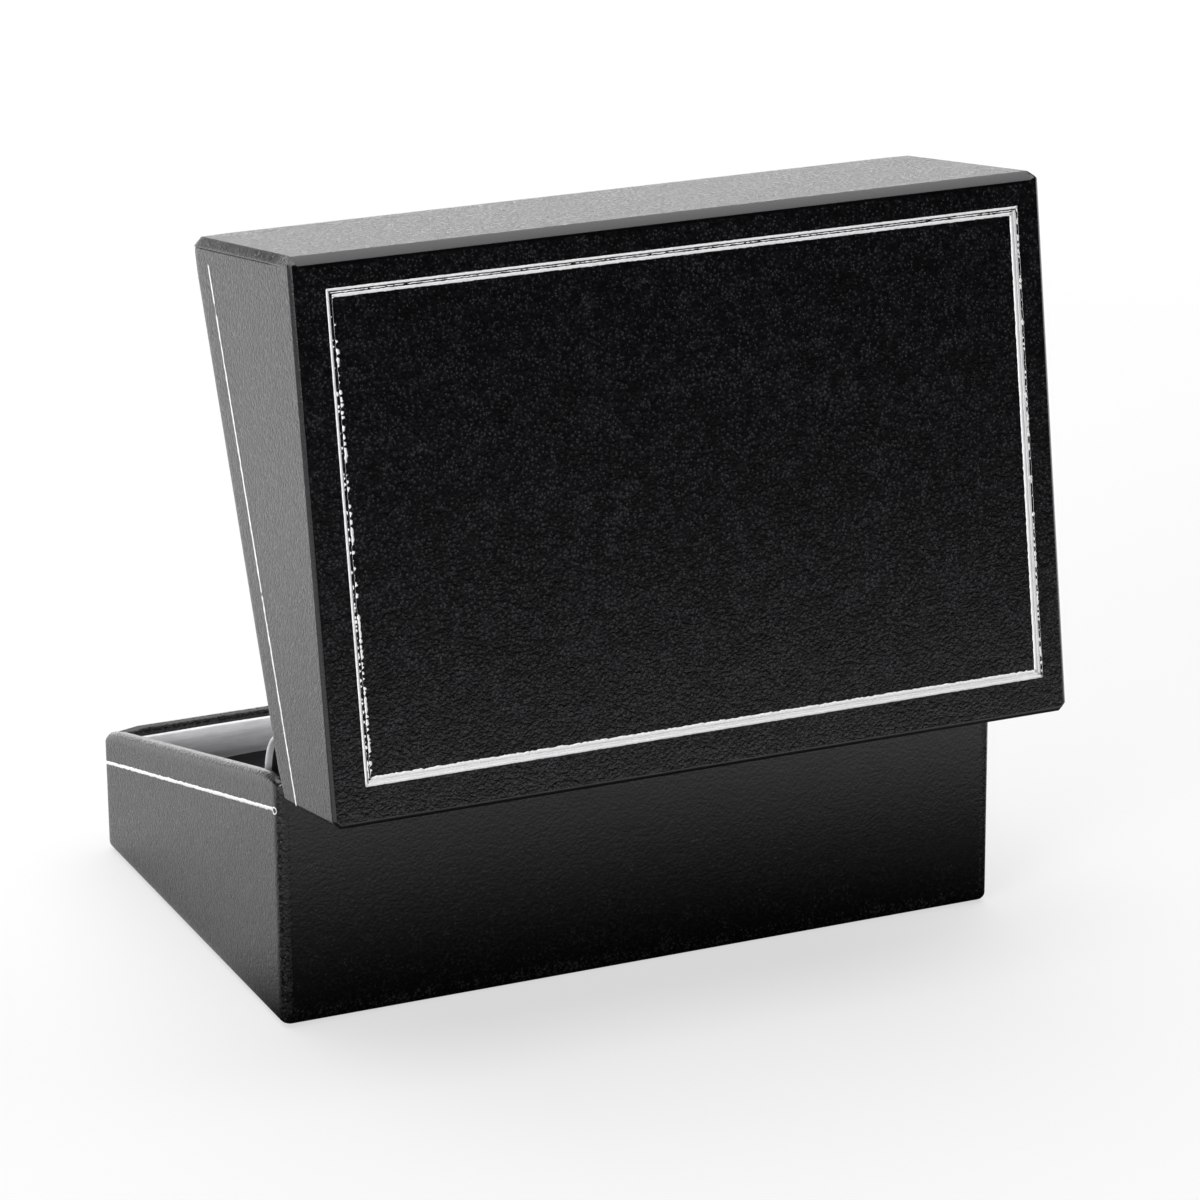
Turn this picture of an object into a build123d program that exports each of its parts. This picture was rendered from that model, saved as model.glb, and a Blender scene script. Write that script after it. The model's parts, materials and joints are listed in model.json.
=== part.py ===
from build123d import *
import os
from math import atan, cos, radians, sin, tan

# A wedge-parted presentation box for cufflinks, standing open.
# The origin is the centre of the underside. +X is the left side seen from behind, the hinge is at +Y,
# and the front is at -Y. The lid is drawn shut and then turned about the hinge pins.
# Millimetres and degrees throughout.

# ---- the box as a whole
width = 100.0                # left side to right side
depth = 69.0                 # front to back
rear_height = 34.0           # base, from the table to its rim at the hinge side
front_height = 17.1          # base, from the table to its rim at the front
closed_height = 52.5         # table to panel with the lid shut
rim_gap = 0.3                # between the two rims with the lid shut
open_angle = 81.2            # how far the lid stands open

# ---- walls
cover = 0.45                 # leatherette with its paper back
shell_wall = 1.3             # moulded former
floor_wall = 1.3
turn_in = 9.5                # leatherette glued down inside the rim
turn_under = 6.0             # leatherette glued under the base
corner_radius = 1.5          # upright corners, outside
panel_radius = 1.3           # edge round the lid's panel
foot_radius = 1.0            # edge round the underside
rim_radius = 0.9             # both edges of each rim

# ---- underside sheet
sheet = 0.3                  # what shows below the leatherette
sheet_inset = 1.6            # from the box's outline

# ---- foil lines
foil = 0.05                  # how far the foil stands on the leatherette
base_foil_width = 0.45
base_foil_drop = 4.5         # below the base's rim
lid_foil_width = 0.28
lid_foil_rise = 5.4          # above the lid's rim
lid_foil_start = 2.2         # from the front, behind the seam of the covering
panel_side_margin = 4.4      # panel's outline to the outer line
panel_front_margin = 4.1
panel_hinge_margin = 4.75
panel_outer_line = 0.3
panel_inner_line = 0.34
panel_channel = 0.42         # bare leather between the two lines
panel_inner_radius = 0.9     # inside corners of the inner line

# ---- linings
lining = 0.8                 # card covered in satin
lining_drop = 1.3            # from a rim to the edge of a lining
fit = 0.1                    # between card pieces that slide in
soft_gap = 0.4               # round a cushion

# ---- hinge bay, behind the cushion
bay_front = 21.8             # front face of the card that closes off the bay
bay_card = 1.5
bay_card_drop = 2.5          # below the rim
apron = 0.8                  # satin strip over the hinges
apron_rise = 2.6             # above the rim, before it turns back
apron_shoulder = (5.5, 3.6)  # behind its upright part, and above the rear rim
apron_crown = (12.5, 4.4)
apron_lap = 4.0              # stretch that lies on the lid's rear lining
apron_pad_gap = 1.3          # from its end to the lid's pad
apron_bend = 2.2
apron_gap = 0.3              # to the lid's rear lining

# ---- cushion
cushion_drop = 6.3           # rim to the top of the cushion
foam_height = 6.0
velvet = 0.5
cushion_corner = 2.0
cushion_edge = 0.8
cushion_card = 1.5
slit_spacing = 36.0          # between the two slits
slit_length = 16.0
slit_width = 2.6
slit_depth = 5.0
slit_forward = 5.0           # slits' centre, in front of the box's centre
riser_thickness = 4.0
riser_spacing = 38.0         # centre to centre
riser_setback = 2.5          # ends of the risers, inside the cushion's card

# ---- lid pad
pad_card = 1.2
pad_foam = 4.1
satin = 0.35
pad_corner = 2.0
pad_edge = 0.6

# ---- hinges
hinge_spacing = 54.0         # centre to centre
hinge_length = 16.0
lid_knuckle_length = 6.0
knuckle_gap = 0.15           # between neighbouring knuckles
pivot_inset = 1.0            # in front of the box's rear face
pivot_drop = 2.5             # below the base's rear rim
pin_radius = 0.4
pin_fit = 0.02               # round the pin in the base's knuckles
pin_running = 0.05           # round the pin in the lid's knuckle
barrel_wall = 0.4
leaf = 0.5
base_leaf_reach = 11.0       # how far a leaf runs from the rim
lid_leaf_reach = 9.0
notch_side = 0.35            # hinge to the side of its notch
notch_floor = 0.1            # barrel to the floor of its notch
tail_length = 3.0            # lid leaf's tail, from the pivot
tail_width = 3.4
tail_dip = 25.0              # tail below the level with the lid shut
tail_window = 0.5            # round the tail's swing in the base's leaf

# ---- snap springs
spring = 0.25
spring_width = 4.6
spring_bow = 2.2             # how far the spring stands off the leaf
spring_foot = 3.0            # flat length at its foot
spring_foot_width = 13.4     # crossbar of the foot, under both rivets
spring_sweep = 3.2           # height in which it bows out
spring_overlap = 0.6         # past the tail's tip
spring_lip = 1.0             # top end, turned away from the tail
spring_bend = 0.45
spring_gap = 0.1             # to the lid leaf's tail

# ---- rivets, with a round head and a square shank in a punched hole
rivet_shank = 1.0            # side of the square
rivet_head = 1.15            # radius
rivet_head_height = 0.35
rivet_fit = 0.04
rivet_spread = 5.2           # from the middle of a hinge
base_rivet_lift = 1.2        # foot of the base's leaf to its rivets
lid_rivet_rise = 6.5         # lid's rim to its leaf's rivets

# ---- worked out from the above
half_width = width / 2
half_depth = depth / 2
slope = atan((rear_height - front_height) / depth)
wall = 2 * cover + shell_wall
inner_x = half_width - wall
inner_y = half_depth - wall
former_y = inner_y + cover
pivot_y = half_depth - pivot_inset
pivot_z = rear_height - pivot_drop
barrel_radius = pin_radius + pin_running + barrel_wall
floor_top = sheet + cover + floor_wall
ceiling = closed_height - cover - shell_wall


def rim(y):
    """Height of the base's rim plane at y."""
    return rear_height - (half_depth - y) * tan(slope)


def square(thickness):
    """Upright measure of a thickness taken square to the rim plane."""
    return thickness / cos(slope)


def prism(points, half_length):
    """Side-view outline in Y and Z, drawn out along X to both sides."""
    return extrude(make_face(Plane.YZ * Polyline(*points, close=True)), half_length, both=True)


def upright_edges(solid):
    return solid.edges().filter_by(Axis.Z)


def base_block(inset, low, drop):
    """Wedge inside the base's outline, from height low up to a plane below the rim by drop."""
    y = half_depth - inset
    outline = [(-y, low), (y, low), (y, rim(y) - drop), (-y, rim(-y) - drop)]
    return prism(outline, half_width - inset)


def lid_block(inset, rise, high):
    """Wedge inside the shut lid's outline, from a plane above the lid's rim by rise up to high."""
    y = half_depth - inset
    low = rim_gap + rise
    outline = [(-y, rim(-y) + low), (y, rim(y) + low), (y, high), (-y, high)]
    return prism(outline, half_width - inset)


def rim_edges(solid, side):
    """Both edges of the sloping rim; side is 1 for the base and -1 for the lid."""
    across = Vector(0, -sin(slope), cos(slope)) * side
    slanted = solid.faces().filter_by(lambda f: f.normal_at().dot(across) > 0.999)
    return slanted.sort_by(SortBy.AREA)[-1].edges()


def opened(solid):
    """Turns a piece of the shut lid to where the open lid stands."""
    return solid.rotate(Axis((0, pivot_y, pivot_z), (1, 0, 0)), -open_angle)


def opened_point(y, z):
    """Where a point of the shut lid goes when the lid is open."""
    turn = radians(open_angle)
    dy, dz = y - pivot_y, z - pivot_z
    return pivot_y + dy * cos(turn) + dz * sin(turn), pivot_z - dy * sin(turn) + dz * cos(turn)


def cylinder_x(radius, x0, x1, y, z):
    """Round bar along X."""
    return extrude(Plane((x0, y, z), x_dir=(0, 1, 0), z_dir=(1, 0, 0)) * Circle(radius), x1 - x0)


def cylinder_y(radius, y0, y1, x, z):
    """Round bar along Y."""
    return extrude(Plane((x, y0, z), x_dir=(1, 0, 0), z_dir=(0, 1, 0)) * Circle(radius), y1 - y0)


def block(x0, x1, y0, y1, z0, z1):
    """Box between two corners."""
    return Pos((x0 + x1) / 2, (y0 + y1) / 2, (z0 + z1) / 2) * Box(x1 - x0, y1 - y0, z1 - z0)


parts = {}
hinge_centres = {"left": hinge_spacing / 2, "right": -hinge_spacing / 2}


# ---- base: former, leatherette, underside
def over_hinges(y0, y1, low, high):
    """Blocks as wide as the hinges with their side clearance."""
    half = hinge_length / 2 + notch_side
    return [block(x - half, x + half, y0, y1, low, high) for x in hinge_centres.values()]


def notches():
    """Openings in the rear wall in which the hinges work, up through the rim."""
    low = pivot_z - barrel_radius - notch_floor
    return over_hinges(inner_y - lining, half_depth + 1, low, rear_height + 1)


def rivet_places(z):
    """(x, z) of two rivets in each leaf."""
    return [(x + side * rivet_spread, z) for x in hinge_centres.values() for side in (-1, 1)]


def shank(x, z, y0, y1, side):
    """Square bar along Y."""
    return block(x - side / 2, x + side / 2, y0, y1, z - side / 2, z + side / 2)


def rivet_holes(places):
    return [shank(x, z, inner_y - leaf - 1, half_depth - cover, rivet_shank + 2 * rivet_fit)
            for x, z in places]


base_rivet_places = rivet_places(rear_height - base_leaf_reach + base_rivet_lift)
lid_rivet_places = rivet_places(rear_height + rim_gap + lid_rivet_rise)


def base_former():
    """The moulded wedge before its holes are punched."""
    body = base_block(cover, sheet + cover, square(cover))
    body = fillet(upright_edges(body), corner_radius - cover)
    body = fillet(body.edges().group_by(Axis.Z)[0], foot_radius - cover)
    return body - base_block(cover + shell_wall, floor_top, -closed_height)


def make_base_covering():
    skin = base_block(0, sheet, 0)
    skin = fillet(upright_edges(skin), corner_radius)
    skin = fillet(skin.edges().group_by(Axis.Z)[0], foot_radius)
    skin -= base_block(wall, floor_top, -closed_height)
    skin = fillet(rim_edges(skin, 1), rim_radius)
    below_turn_in = base_block(cover + shell_wall, floor_top, turn_in)
    window = block(turn_under - half_width, half_width - turn_under,
                   turn_under - half_depth, half_depth - turn_under, 0, floor_top)
    under_leaves = over_hinges(inner_y - 1, former_y, floor_top, pivot_z)
    return skin - notches() - base_former() - below_turn_in - window - under_leaves


def make_underside_sheet():
    """Paper sheet that hides the turned-under leatherette and fills the space inside it."""
    x, y = half_width - sheet_inset, half_depth - sheet_inset
    plate = fillet(upright_edges(block(-x, x, -y, y, 0, sheet)), corner_radius)
    x, y = half_width - turn_under - fit, half_depth - turn_under - fit
    return plate + block(-x, x, -y, y, sheet, sheet + cover)


def base_foil():
    """Line stamped round the front and both sides, parallel to the rim."""
    outer = fillet(upright_edges(base_block(-foil, sheet, 0)), corner_radius + foil)
    inner = fillet(upright_edges(base_block(0, 0, -1)), corner_radius)
    front, rear = -half_depth - 1, half_depth - corner_radius / 2
    high = -base_foil_drop + base_foil_width / 2
    low = high - base_foil_width
    band = prism([(front, rim(front) + low), (rear, rim(rear) + low),
                  (rear, rim(rear) + high), (front, rim(front) + high)], width)
    return (outer & band) - inner


parts["base_shell"] = base_former() - notches() - rivet_holes(base_rivet_places)
parts["base_covering"] = make_base_covering()
parts["underside_sheet"] = make_underside_sheet()
parts["base_foil_line"] = base_foil()


# ---- base: linings, hinge bay and cushion
def wedge_between(x0, x1, y0, y1, low, drop):
    """Piece between two sides whose top is parallel to the rim and below it by drop."""
    outline = [(y0, low), (y1, low), (y1, rim(y1) - drop), (y0, rim(y0) - drop)]
    return Pos((x0 + x1) / 2, 0, 0) * prism(outline, (x1 - x0) / 2)


def slab_between(x, y0, y1, high, low):
    """Sheet parallel to the rim, from high to low below it, with half length x."""
    outline = [(y0, rim(y0) - low), (y1, rim(y1) - low), (y1, rim(y1) - high), (y0, rim(y0) - high)]
    return prism(outline, x)


side_face = inner_x - lining
front_face = lining - inner_y
cushion_x = side_face - soft_gap
cushion_front = front_face + soft_gap
cushion_rear = bay_front - apron - soft_gap
cushion_base = cushion_drop + velvet + foam_height

side_linings = {"left": (side_face, inner_x), "right": (-inner_x, -side_face)}
parts["base_lining_front"] = wedge_between(-inner_x, inner_x, -inner_y, front_face, floor_top, lining_drop)
for side, (x0, x1) in side_linings.items():
    parts["base_lining_" + side] = wedge_between(x0, x1, front_face, inner_y, floor_top, lining_drop)
parts["hinge_bay_card"] = wedge_between(-side_face, side_face, bay_front, bay_front + bay_card,
                                        floor_top, bay_card_drop)


def slits():
    """Two upright slits for the cufflinks' stems, cut down from above the cushion."""
    half_w, half_l = slit_width / 2, slit_length / 2
    depth_below = cushion_drop + velvet + slit_depth
    found = []
    for x in (-slit_spacing / 2, slit_spacing / 2):
        y0, y1 = -slit_forward - half_l, -slit_forward + half_l
        outline = [(y0, rim(y0) - depth_below), (y1, rim(y1) - depth_below),
                   (y1, rim(y1)), (y0, rim(y0))]
        found.append(Pos(x, 0, 0) * prism(outline, half_w))
    return found


def make_cushion():
    """Foam block and the velvet drawn over its top and sides."""
    outer = slab_between(cushion_x, cushion_front, cushion_rear, cushion_drop, cushion_base)
    outer = fillet(upright_edges(outer), cushion_corner)
    outer = chamfer(rim_edges(outer, 1), cushion_edge)
    inner = slab_between(cushion_x - velvet, cushion_front + velvet, cushion_rear - velvet,
                         cushion_drop + velvet, cushion_base)
    return inner - slits(), outer - inner - slits()


parts["cushion_foam"], parts["cushion_velvet"] = make_cushion()
card_low = cushion_base + cushion_card
parts["cushion_card"] = slab_between(cushion_x, cushion_front, cushion_rear, cushion_base, card_low)
for name, x in (("left", riser_spacing), ("centre", 0.0), ("right", -riser_spacing)):
    parts["riser_" + name] = wedge_between(x - riser_thickness / 2, x + riser_thickness / 2,
                                           cushion_front + riser_setback, cushion_rear - riser_setback,
                                           floor_top, card_low)


# ---- lid: former, leatherette, foil, linings and pad
def lid_former():
    """The moulded wedge before its holes are punched."""
    body = lid_block(cover, square(cover), closed_height - cover)
    body = fillet(upright_edges(body), corner_radius - cover)
    body = fillet(body.edges().group_by(Axis.Z)[-1], panel_radius - cover)
    return body - lid_block(cover + shell_wall, -closed_height, ceiling)


def make_lid_covering():
    skin = fillet(upright_edges(lid_block(0, 0, closed_height)), corner_radius)
    skin = fillet(skin.edges().group_by(Axis.Z)[-1], panel_radius)
    skin -= lid_block(wall, -closed_height, ceiling)
    skin = fillet(rim_edges(skin, -1), rim_radius)
    above_turn_in = lid_block(cover + shell_wall, turn_in, ceiling)
    under_leaves = over_hinges(inner_y - 1, former_y, rear_height, ceiling)
    return skin - lid_former() - above_turn_in - under_leaves


def lid_side_foil():
    """A line on each side of the lid, parallel to its rim."""
    outer = lid_block(-foil, 0, closed_height)
    front, rear = lid_foil_start - half_depth, half_depth - corner_radius / 2
    low = rim_gap + lid_foil_rise - lid_foil_width / 2
    high = low + lid_foil_width
    band = prism([(front, rim(front) + low), (rear, rim(rear) + low),
                  (rear, rim(rear) + high), (front, rim(front) + high)], width)
    inner = fillet(upright_edges(lid_block(0, -1, closed_height)), corner_radius)
    sides = block(-width, width, front, half_depth - corner_radius, 0, closed_height)
    return (outer & band & sides) - inner


def panel_ring(inset, line, inner_radius):
    """Closed line of foil on the panel, its outer edge inset from the border's outline."""
    x = half_width - panel_side_margin - inset
    y0 = panel_front_margin + inset - half_depth
    y1 = half_depth - panel_hinge_margin - inset
    high = closed_height + foil
    ring = block(-x, x, y0, y1, closed_height, high)
    hole = block(line - x, x - line, y0 + line, y1 - line, closed_height, high)
    return ring - fillet(upright_edges(hole), inner_radius)


lid = {}
lid["lid_shell"] = lid_former() - rivet_holes(lid_rivet_places)
lid["lid_covering"] = make_lid_covering()
lid["lid_side_foil_lines"] = lid_side_foil()
lid["panel_foil_outer"] = panel_ring(0, panel_outer_line, panel_outer_line / 2)
inner_inset = panel_outer_line + panel_channel
lid["panel_foil_inner"] = panel_ring(inner_inset, panel_inner_line, panel_inner_radius)


def lid_wedge(x0, x1, y0, y1, rise, high):
    """Piece of the shut lid whose lower edge is parallel to the rim and above it by rise."""
    low = rim_gap + rise
    outline = [(y0, rim(y0) + low), (y1, rim(y1) + low), (y1, high), (y0, high)]
    return Pos((x0 + x1) / 2, 0, 0) * prism(outline, (x1 - x0) / 2)


rear_face = former_y - leaf - rivet_head_height - 2 * fit - lining
lid["lid_lining_front"] = lid_wedge(-inner_x, inner_x, -inner_y, front_face, lining_drop, ceiling)
for side, (x0, x1) in side_linings.items():
    lid["lid_lining_" + side] = lid_wedge(x0, x1, front_face, inner_y, lining_drop, ceiling)
lid["lid_lining_rear"] = lid_wedge(-side_face, side_face, rear_face, rear_face + lining,
                                   lining_drop, ceiling)


def make_pad():
    """Card in the panel, the foam on it, and the satin drawn over face and sides."""
    x, y0, y1 = side_face - fit, front_face + fit, rear_face - fit
    high = ceiling - pad_card
    low = high - pad_foam - satin
    card = block(-x, x, y0, y1, high, ceiling)
    x, y0, y1 = side_face - soft_gap, front_face + soft_gap, rear_face - soft_gap
    outer = fillet(upright_edges(block(-x, x, y0, y1, low, high)), pad_corner)
    outer = chamfer(outer.edges().group_by(Axis.Z)[0], pad_edge)
    foam = block(satin - x, x - satin, y0 + satin, y1 - satin, low + satin, high)
    return card, foam, outer - foam


lid["pad_card"], lid["pad_foam"], lid["pad_satin"] = make_pad()


# ---- hinges, pins and springs
def knuckle(x0, x1, bore):
    return (cylinder_x(barrel_radius, x0, x1, pivot_y, pivot_z)
            - cylinder_x(bore, x0 - 1, x1 + 1, pivot_y, pivot_z))


leaf_front = former_y - leaf
bend_low = barrel_radius - leaf          # from the pivot to the near side of the bend in a leaf


def make_base_leaf(x):
    """Leaf on the rear wall, bent back under the pin into the two outer knuckles."""
    half, half_lid = hinge_length / 2, lid_knuckle_length / 2
    plate = block(x - half, x + half, leaf_front, former_y,
                  rear_height - base_leaf_reach, pivot_z - bend_low)
    plate += block(x - half, x + half, leaf_front, pivot_y, pivot_z - barrel_radius, pivot_z - bend_low)
    window_low = pivot_z - tail_length * sin(radians(tail_dip)) - leaf - tail_window
    window = half_lid + knuckle_gap
    plate -= block(x - window, x + window, leaf_front - 1, pivot_y + 1, window_low, pivot_z + 1)
    bore = pin_radius + pin_fit
    for x0, x1 in ((x - half, x - window), (x + window, x + half)):
        plate -= cylinder_x(bore, x0, x1, pivot_y, pivot_z)
        plate += knuckle(x0, x1, bore)
    return plate - rivet_holes(base_rivet_places)


def make_lid_leaf(x):
    """Leaf on the lid's rear wall, bent back over the pin into the middle knuckle, with its tail."""
    half, half_lid = hinge_length / 2, lid_knuckle_length / 2
    high = rear_height + rim_gap + lid_leaf_reach
    shoulder = rear_height + rim_gap + lining_drop
    plate = block(x - half, x + half, leaf_front, former_y, shoulder, high)
    plate += block(x - half_lid, x + half_lid, leaf_front, former_y, pivot_z + bend_low, shoulder)
    plate += block(x - half_lid, x + half_lid, leaf_front, pivot_y,
                   pivot_z + bend_low, pivot_z + barrel_radius)
    tail = block(x - tail_width / 2, x + tail_width / 2, pivot_y - tail_length, pivot_y - pin_radius,
                 pivot_z - leaf / 2, pivot_z + leaf / 2)
    plate += tail.rotate(Axis((0, pivot_y, pivot_z), (1, 0, 0)), tail_dip)
    bore = pin_radius + pin_running
    plate -= cylinder_x(bore, x - half, x + half, pivot_y, pivot_z)
    plate += knuckle(x - half_lid, x + half_lid, bore)
    return plate - rivet_holes(lid_rivet_places)


def make_spring(x):
    """Bowed strip on a crossbar under the base's rivets, whose top presses on the lid leaf's tail."""
    rest = radians(open_angle - tail_dip)
    tip_y = pivot_y - tail_length * cos(rest) - leaf / 2 * sin(rest)
    tip_z = pivot_z + tail_length * sin(rest) - leaf / 2 * cos(rest)
    back = leaf_front - spring / 2
    foot = rear_height - base_leaf_reach
    top_y = tip_y - spring_gap - spring / 2
    bow_y = back - spring_bow
    high = tip_z + spring_overlap
    route = [(back, foot), (back, foot + spring_foot), (bow_y, foot + spring_foot + spring_sweep),
             (bow_y, pivot_z - spring_overlap), (top_y, tip_z - spring_overlap), (top_y, high),
             (top_y - spring_lip, high + spring_lip)]
    line = Plane.YZ * FilletPolyline(*route, radius=spring_bend)
    outline = offset(line, amount=spring / 2, side=Side.BOTH)
    strip = Pos(x, 0, 0) * extrude(make_face(outline), spring_width / 2, both=True)
    half = spring_foot_width / 2
    strip -= block(x - half, x + half, back - spring, back + spring, foot - spring, foot)
    strip += block(x - half, x + half, leaf_front - spring, leaf_front, foot, foot + 2 * base_rivet_lift)
    return strip - rivet_holes(base_rivet_places)


def make_rivet(x, z, seat):
    """Rivet along Y with its head on the plane y = seat."""
    head = cylinder_y(rivet_head, seat - rivet_head_height, seat, x, z)
    return head + shank(x, z, seat, half_depth - cover, rivet_shank)


for side, x in hinge_centres.items():
    parts["base_leaf_" + side] = make_base_leaf(x)
    parts["hinge_pin_" + side] = cylinder_x(pin_radius, x - hinge_length / 2, x + hinge_length / 2,
                                            pivot_y, pivot_z)
    parts["snap_spring_" + side] = make_spring(x)
    lid["lid_leaf_" + side] = make_lid_leaf(x)

parts["base_rivets"] = Compound([make_rivet(x, z, leaf_front - spring) for x, z in base_rivet_places])
lid["lid_rivets"] = Compound([make_rivet(x, z, leaf_front) for x, z in lid_rivet_places])


# ---- satin apron over the hinge bay, from the bay's card to the lid's rear lining
def make_apron():
    upright = bay_front - apron / 2
    above = rear_face - apron / 2 - apron_gap
    end = ceiling - pad_card - pad_foam - satin - apron_pad_gap
    landing = [opened_point(above, z) for z in (end - apron_lap, end)]
    curve = [(upright + back, rear_height + up) for back, up in (apron_shoulder, apron_crown)]
    route = [(upright, rim(upright) - turn_in), (upright, rim(upright) + apron_rise), *curve, *landing]
    line = Plane.YZ * FilletPolyline(*route, radius=apron_bend)
    outline = offset(line, amount=apron / 2, side=Side.BOTH)
    return extrude(make_face(outline), side_face - 2 * fit, both=True)


parts["hinge_apron"] = make_apron()

for name, solid in lid.items():
    parts[name] = opened(solid)

os.makedirs("parts", exist_ok=True)
for name, solid in parts.items():
    export_step(solid, f"parts/{name}.step")
    print(f"{name:24s} {solid.volume:10.2f} mm3")
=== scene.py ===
# %% [markdown]
# # A wedge-parted presentation box for cufflinks, standing open
# A base and a lid, each a moulded plastic former wrapped in black pebbled leatherette, joined at the back
# by two sprung hinges. Silver foil lines are stamped on the outside. Inside are satin-covered cards, a
# velvet cushion with two slits for the cufflinks' stems, a satin pad in the lid, and a satin apron that
# hides the hinges. The construction is already there as a frame of solids; this notebook makes what the
# eye sees.

# %% The frame
import json
from functools import partial
from math import atan, cos, pi, radians, sin, tan

import bpy
import numpy as np
from mathutils import Matrix, Vector


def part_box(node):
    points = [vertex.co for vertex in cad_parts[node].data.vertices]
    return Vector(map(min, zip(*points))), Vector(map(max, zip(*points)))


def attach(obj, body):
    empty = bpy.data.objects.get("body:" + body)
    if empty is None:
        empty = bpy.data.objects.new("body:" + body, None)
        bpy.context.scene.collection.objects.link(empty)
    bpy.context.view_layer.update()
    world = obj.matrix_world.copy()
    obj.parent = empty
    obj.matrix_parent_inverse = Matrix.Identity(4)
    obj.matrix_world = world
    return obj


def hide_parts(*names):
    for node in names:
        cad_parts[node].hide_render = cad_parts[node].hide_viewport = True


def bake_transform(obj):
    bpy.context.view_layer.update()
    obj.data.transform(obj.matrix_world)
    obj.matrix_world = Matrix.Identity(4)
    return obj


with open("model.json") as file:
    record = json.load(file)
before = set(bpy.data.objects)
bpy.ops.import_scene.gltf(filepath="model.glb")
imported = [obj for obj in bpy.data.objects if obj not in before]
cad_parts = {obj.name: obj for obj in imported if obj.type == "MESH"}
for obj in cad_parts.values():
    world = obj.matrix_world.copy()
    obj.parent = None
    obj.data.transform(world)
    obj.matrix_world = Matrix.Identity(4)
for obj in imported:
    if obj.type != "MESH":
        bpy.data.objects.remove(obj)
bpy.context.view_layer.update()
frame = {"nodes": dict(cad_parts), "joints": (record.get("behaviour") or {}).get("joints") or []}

# %% [markdown]
# ## Driving sizes
# Everything is worked out in millimetres and turned to metres where a mesh is filled. The outline comes from
# the frame. The two heights of the base give the slope of the plane in which base and lid part, and the walls
# are the leatherette, the moulded former and the leatherette that is turned in over its rim.

# %% Sizes in millimetres
MM = 0.001
lowest, highest = (np.array(corner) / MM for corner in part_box("base_covering"))
width, depth, _ = highest - lowest
half_width, half_depth = width / 2, depth / 2
rear_height, front_height = 34.0, 17.1   # base, from the table to its rim
closed_height = 52.5                     # table to panel with the lid shut
rim_gap = 0.3                            # between the two rims with the lid shut
underside = 0.3                          # paper sheet below the turned-under leatherette
cover, shell_wall = 0.45, 1.3            # leatherette, and the moulded wall that it is glued to
former_inset = cover + shell_wall        # inner face of the former, from the outline
wall = former_inset + cover
rim_radius, foot_radius, panel_radius = 0.9, 1.0, 1.1
turn_in, turn_under = 9.5, 6.0           # leatherette glued down inside the rim, and under the foot
slope = atan((rear_height - front_height) / depth)


def rim(y):
    """Height of the plane in which the box parts: a straight line from front to rear."""
    return rear_height - (half_depth - y) * tan(slope)


print(f"{width:.1f} x {depth:.1f} mm, rim slopes {slope * 180 / pi:.1f} degrees")

# %% [markdown]
# ## The hinge
# The lid's pieces are easiest to work out with the lid shut, where their walls are upright. One turn about
# the hinge pins then takes them to where the open lid stands. The pins and the angle come from the frame's
# joint, so the pieces move with it exactly as the solids do.

# %% Opening the lid
hinge = frame["joints"][0]
pin_y, pin_z = hinge["pos_m"][1] / MM, hinge["pos_m"][2] / MM
open_angle = radians(-hinge["range_deg"][0])


def opened(points):
    """A point of the shut lid, turned about the hinge pins by the angle at which the lid stands."""
    x, dy, dz = points[..., 0], points[..., 1] - pin_y, points[..., 2] - pin_z
    y = pin_y + dy * cos(open_angle) + dz * sin(open_angle)
    z = pin_z - dy * sin(open_angle) + dz * cos(open_angle)
    return np.stack([x, y, z], axis=-1)


def as_it_is(points):
    """Leaves the points of the base where they are."""
    return points


print(f"hinge {hinge['name']} stands {open_angle * 180 / pi:.1f} degrees open")

# %% [markdown]
# ## Camera
# A long lens from behind and a little above, as a catalogue shows such a box. It is placed by its own three
# axes, so it could also be aimed with a Track To constraint, but a matrix leaves nothing to be solved later.

# %% Camera
lens, sensor = 147.62, 36.0
eye = (0.24319, 0.56948, 0.24770)
right = np.array((-0.91323, 0.40738, -0.00759))
down = np.array((0.13665, 0.28868, -0.94762))
ahead = np.array((-0.38386, -0.86643, -0.31930))

camera_data = bpy.data.cameras.new("camera")
camera_data.lens, camera_data.sensor_width = lens, sensor
camera_data.clip_start, camera_data.clip_end = 0.01, 50.0
camera = bpy.data.objects.new("camera", camera_data)
bpy.context.scene.collection.objects.link(camera)
camera.matrix_world = Matrix.Translation(eye) @ Matrix(np.stack([right, -down, -ahead], axis=1)).to_4x4()
bpy.context.scene.camera = camera
print("camera", eye, "lens", lens, "mm")

# %% [markdown]
# ## Colours and nodes
# Colours are written as a paint chart gives them and turned to linear light once. Every node in this notebook
# is made by one function, which takes its inputs by name, or in order where there are only one or two.


# %% Colours and nodes
def linear(hex_colour):
    """sRGB hex to linear light: the straight part below 0.04045, the power 2.4 above it."""
    channels = [int(hex_colour[i:i + 2], 16) / 255 for i in (1, 3, 5)]
    return [c / 12.92 if c <= 0.04045 else ((c + 0.055) / 1.055) ** 2.4 for c in channels] + [1.0]


def add(tree, kind, inputs=(), stops=(), **settings):
    """Adds a shader node with its settings. An input that is a node is linked from its first output, one
    that is a socket is linked, and any other value is set. Stops are positions and hex colours of a ramp."""
    made = tree.nodes.new("ShaderNode" + kind)
    for name, value in settings.items():
        setattr(made, name, value)
    for name, value in inputs.items() if isinstance(inputs, dict) else enumerate(inputs):
        if isinstance(value, bpy.types.Node):
            value = value.outputs[0]
        if isinstance(value, bpy.types.NodeSocket):
            tree.links.new(value, made.inputs[name])
        else:
            made.inputs[name].default_value = value
    for _ in stops[2:]:
        made.color_ramp.elements.new(0.5)
    for element, (position, colour) in zip(made.color_ramp.elements if stops else (), stops):
        element.position, element.color = position, linear(colour)
    return made


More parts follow.
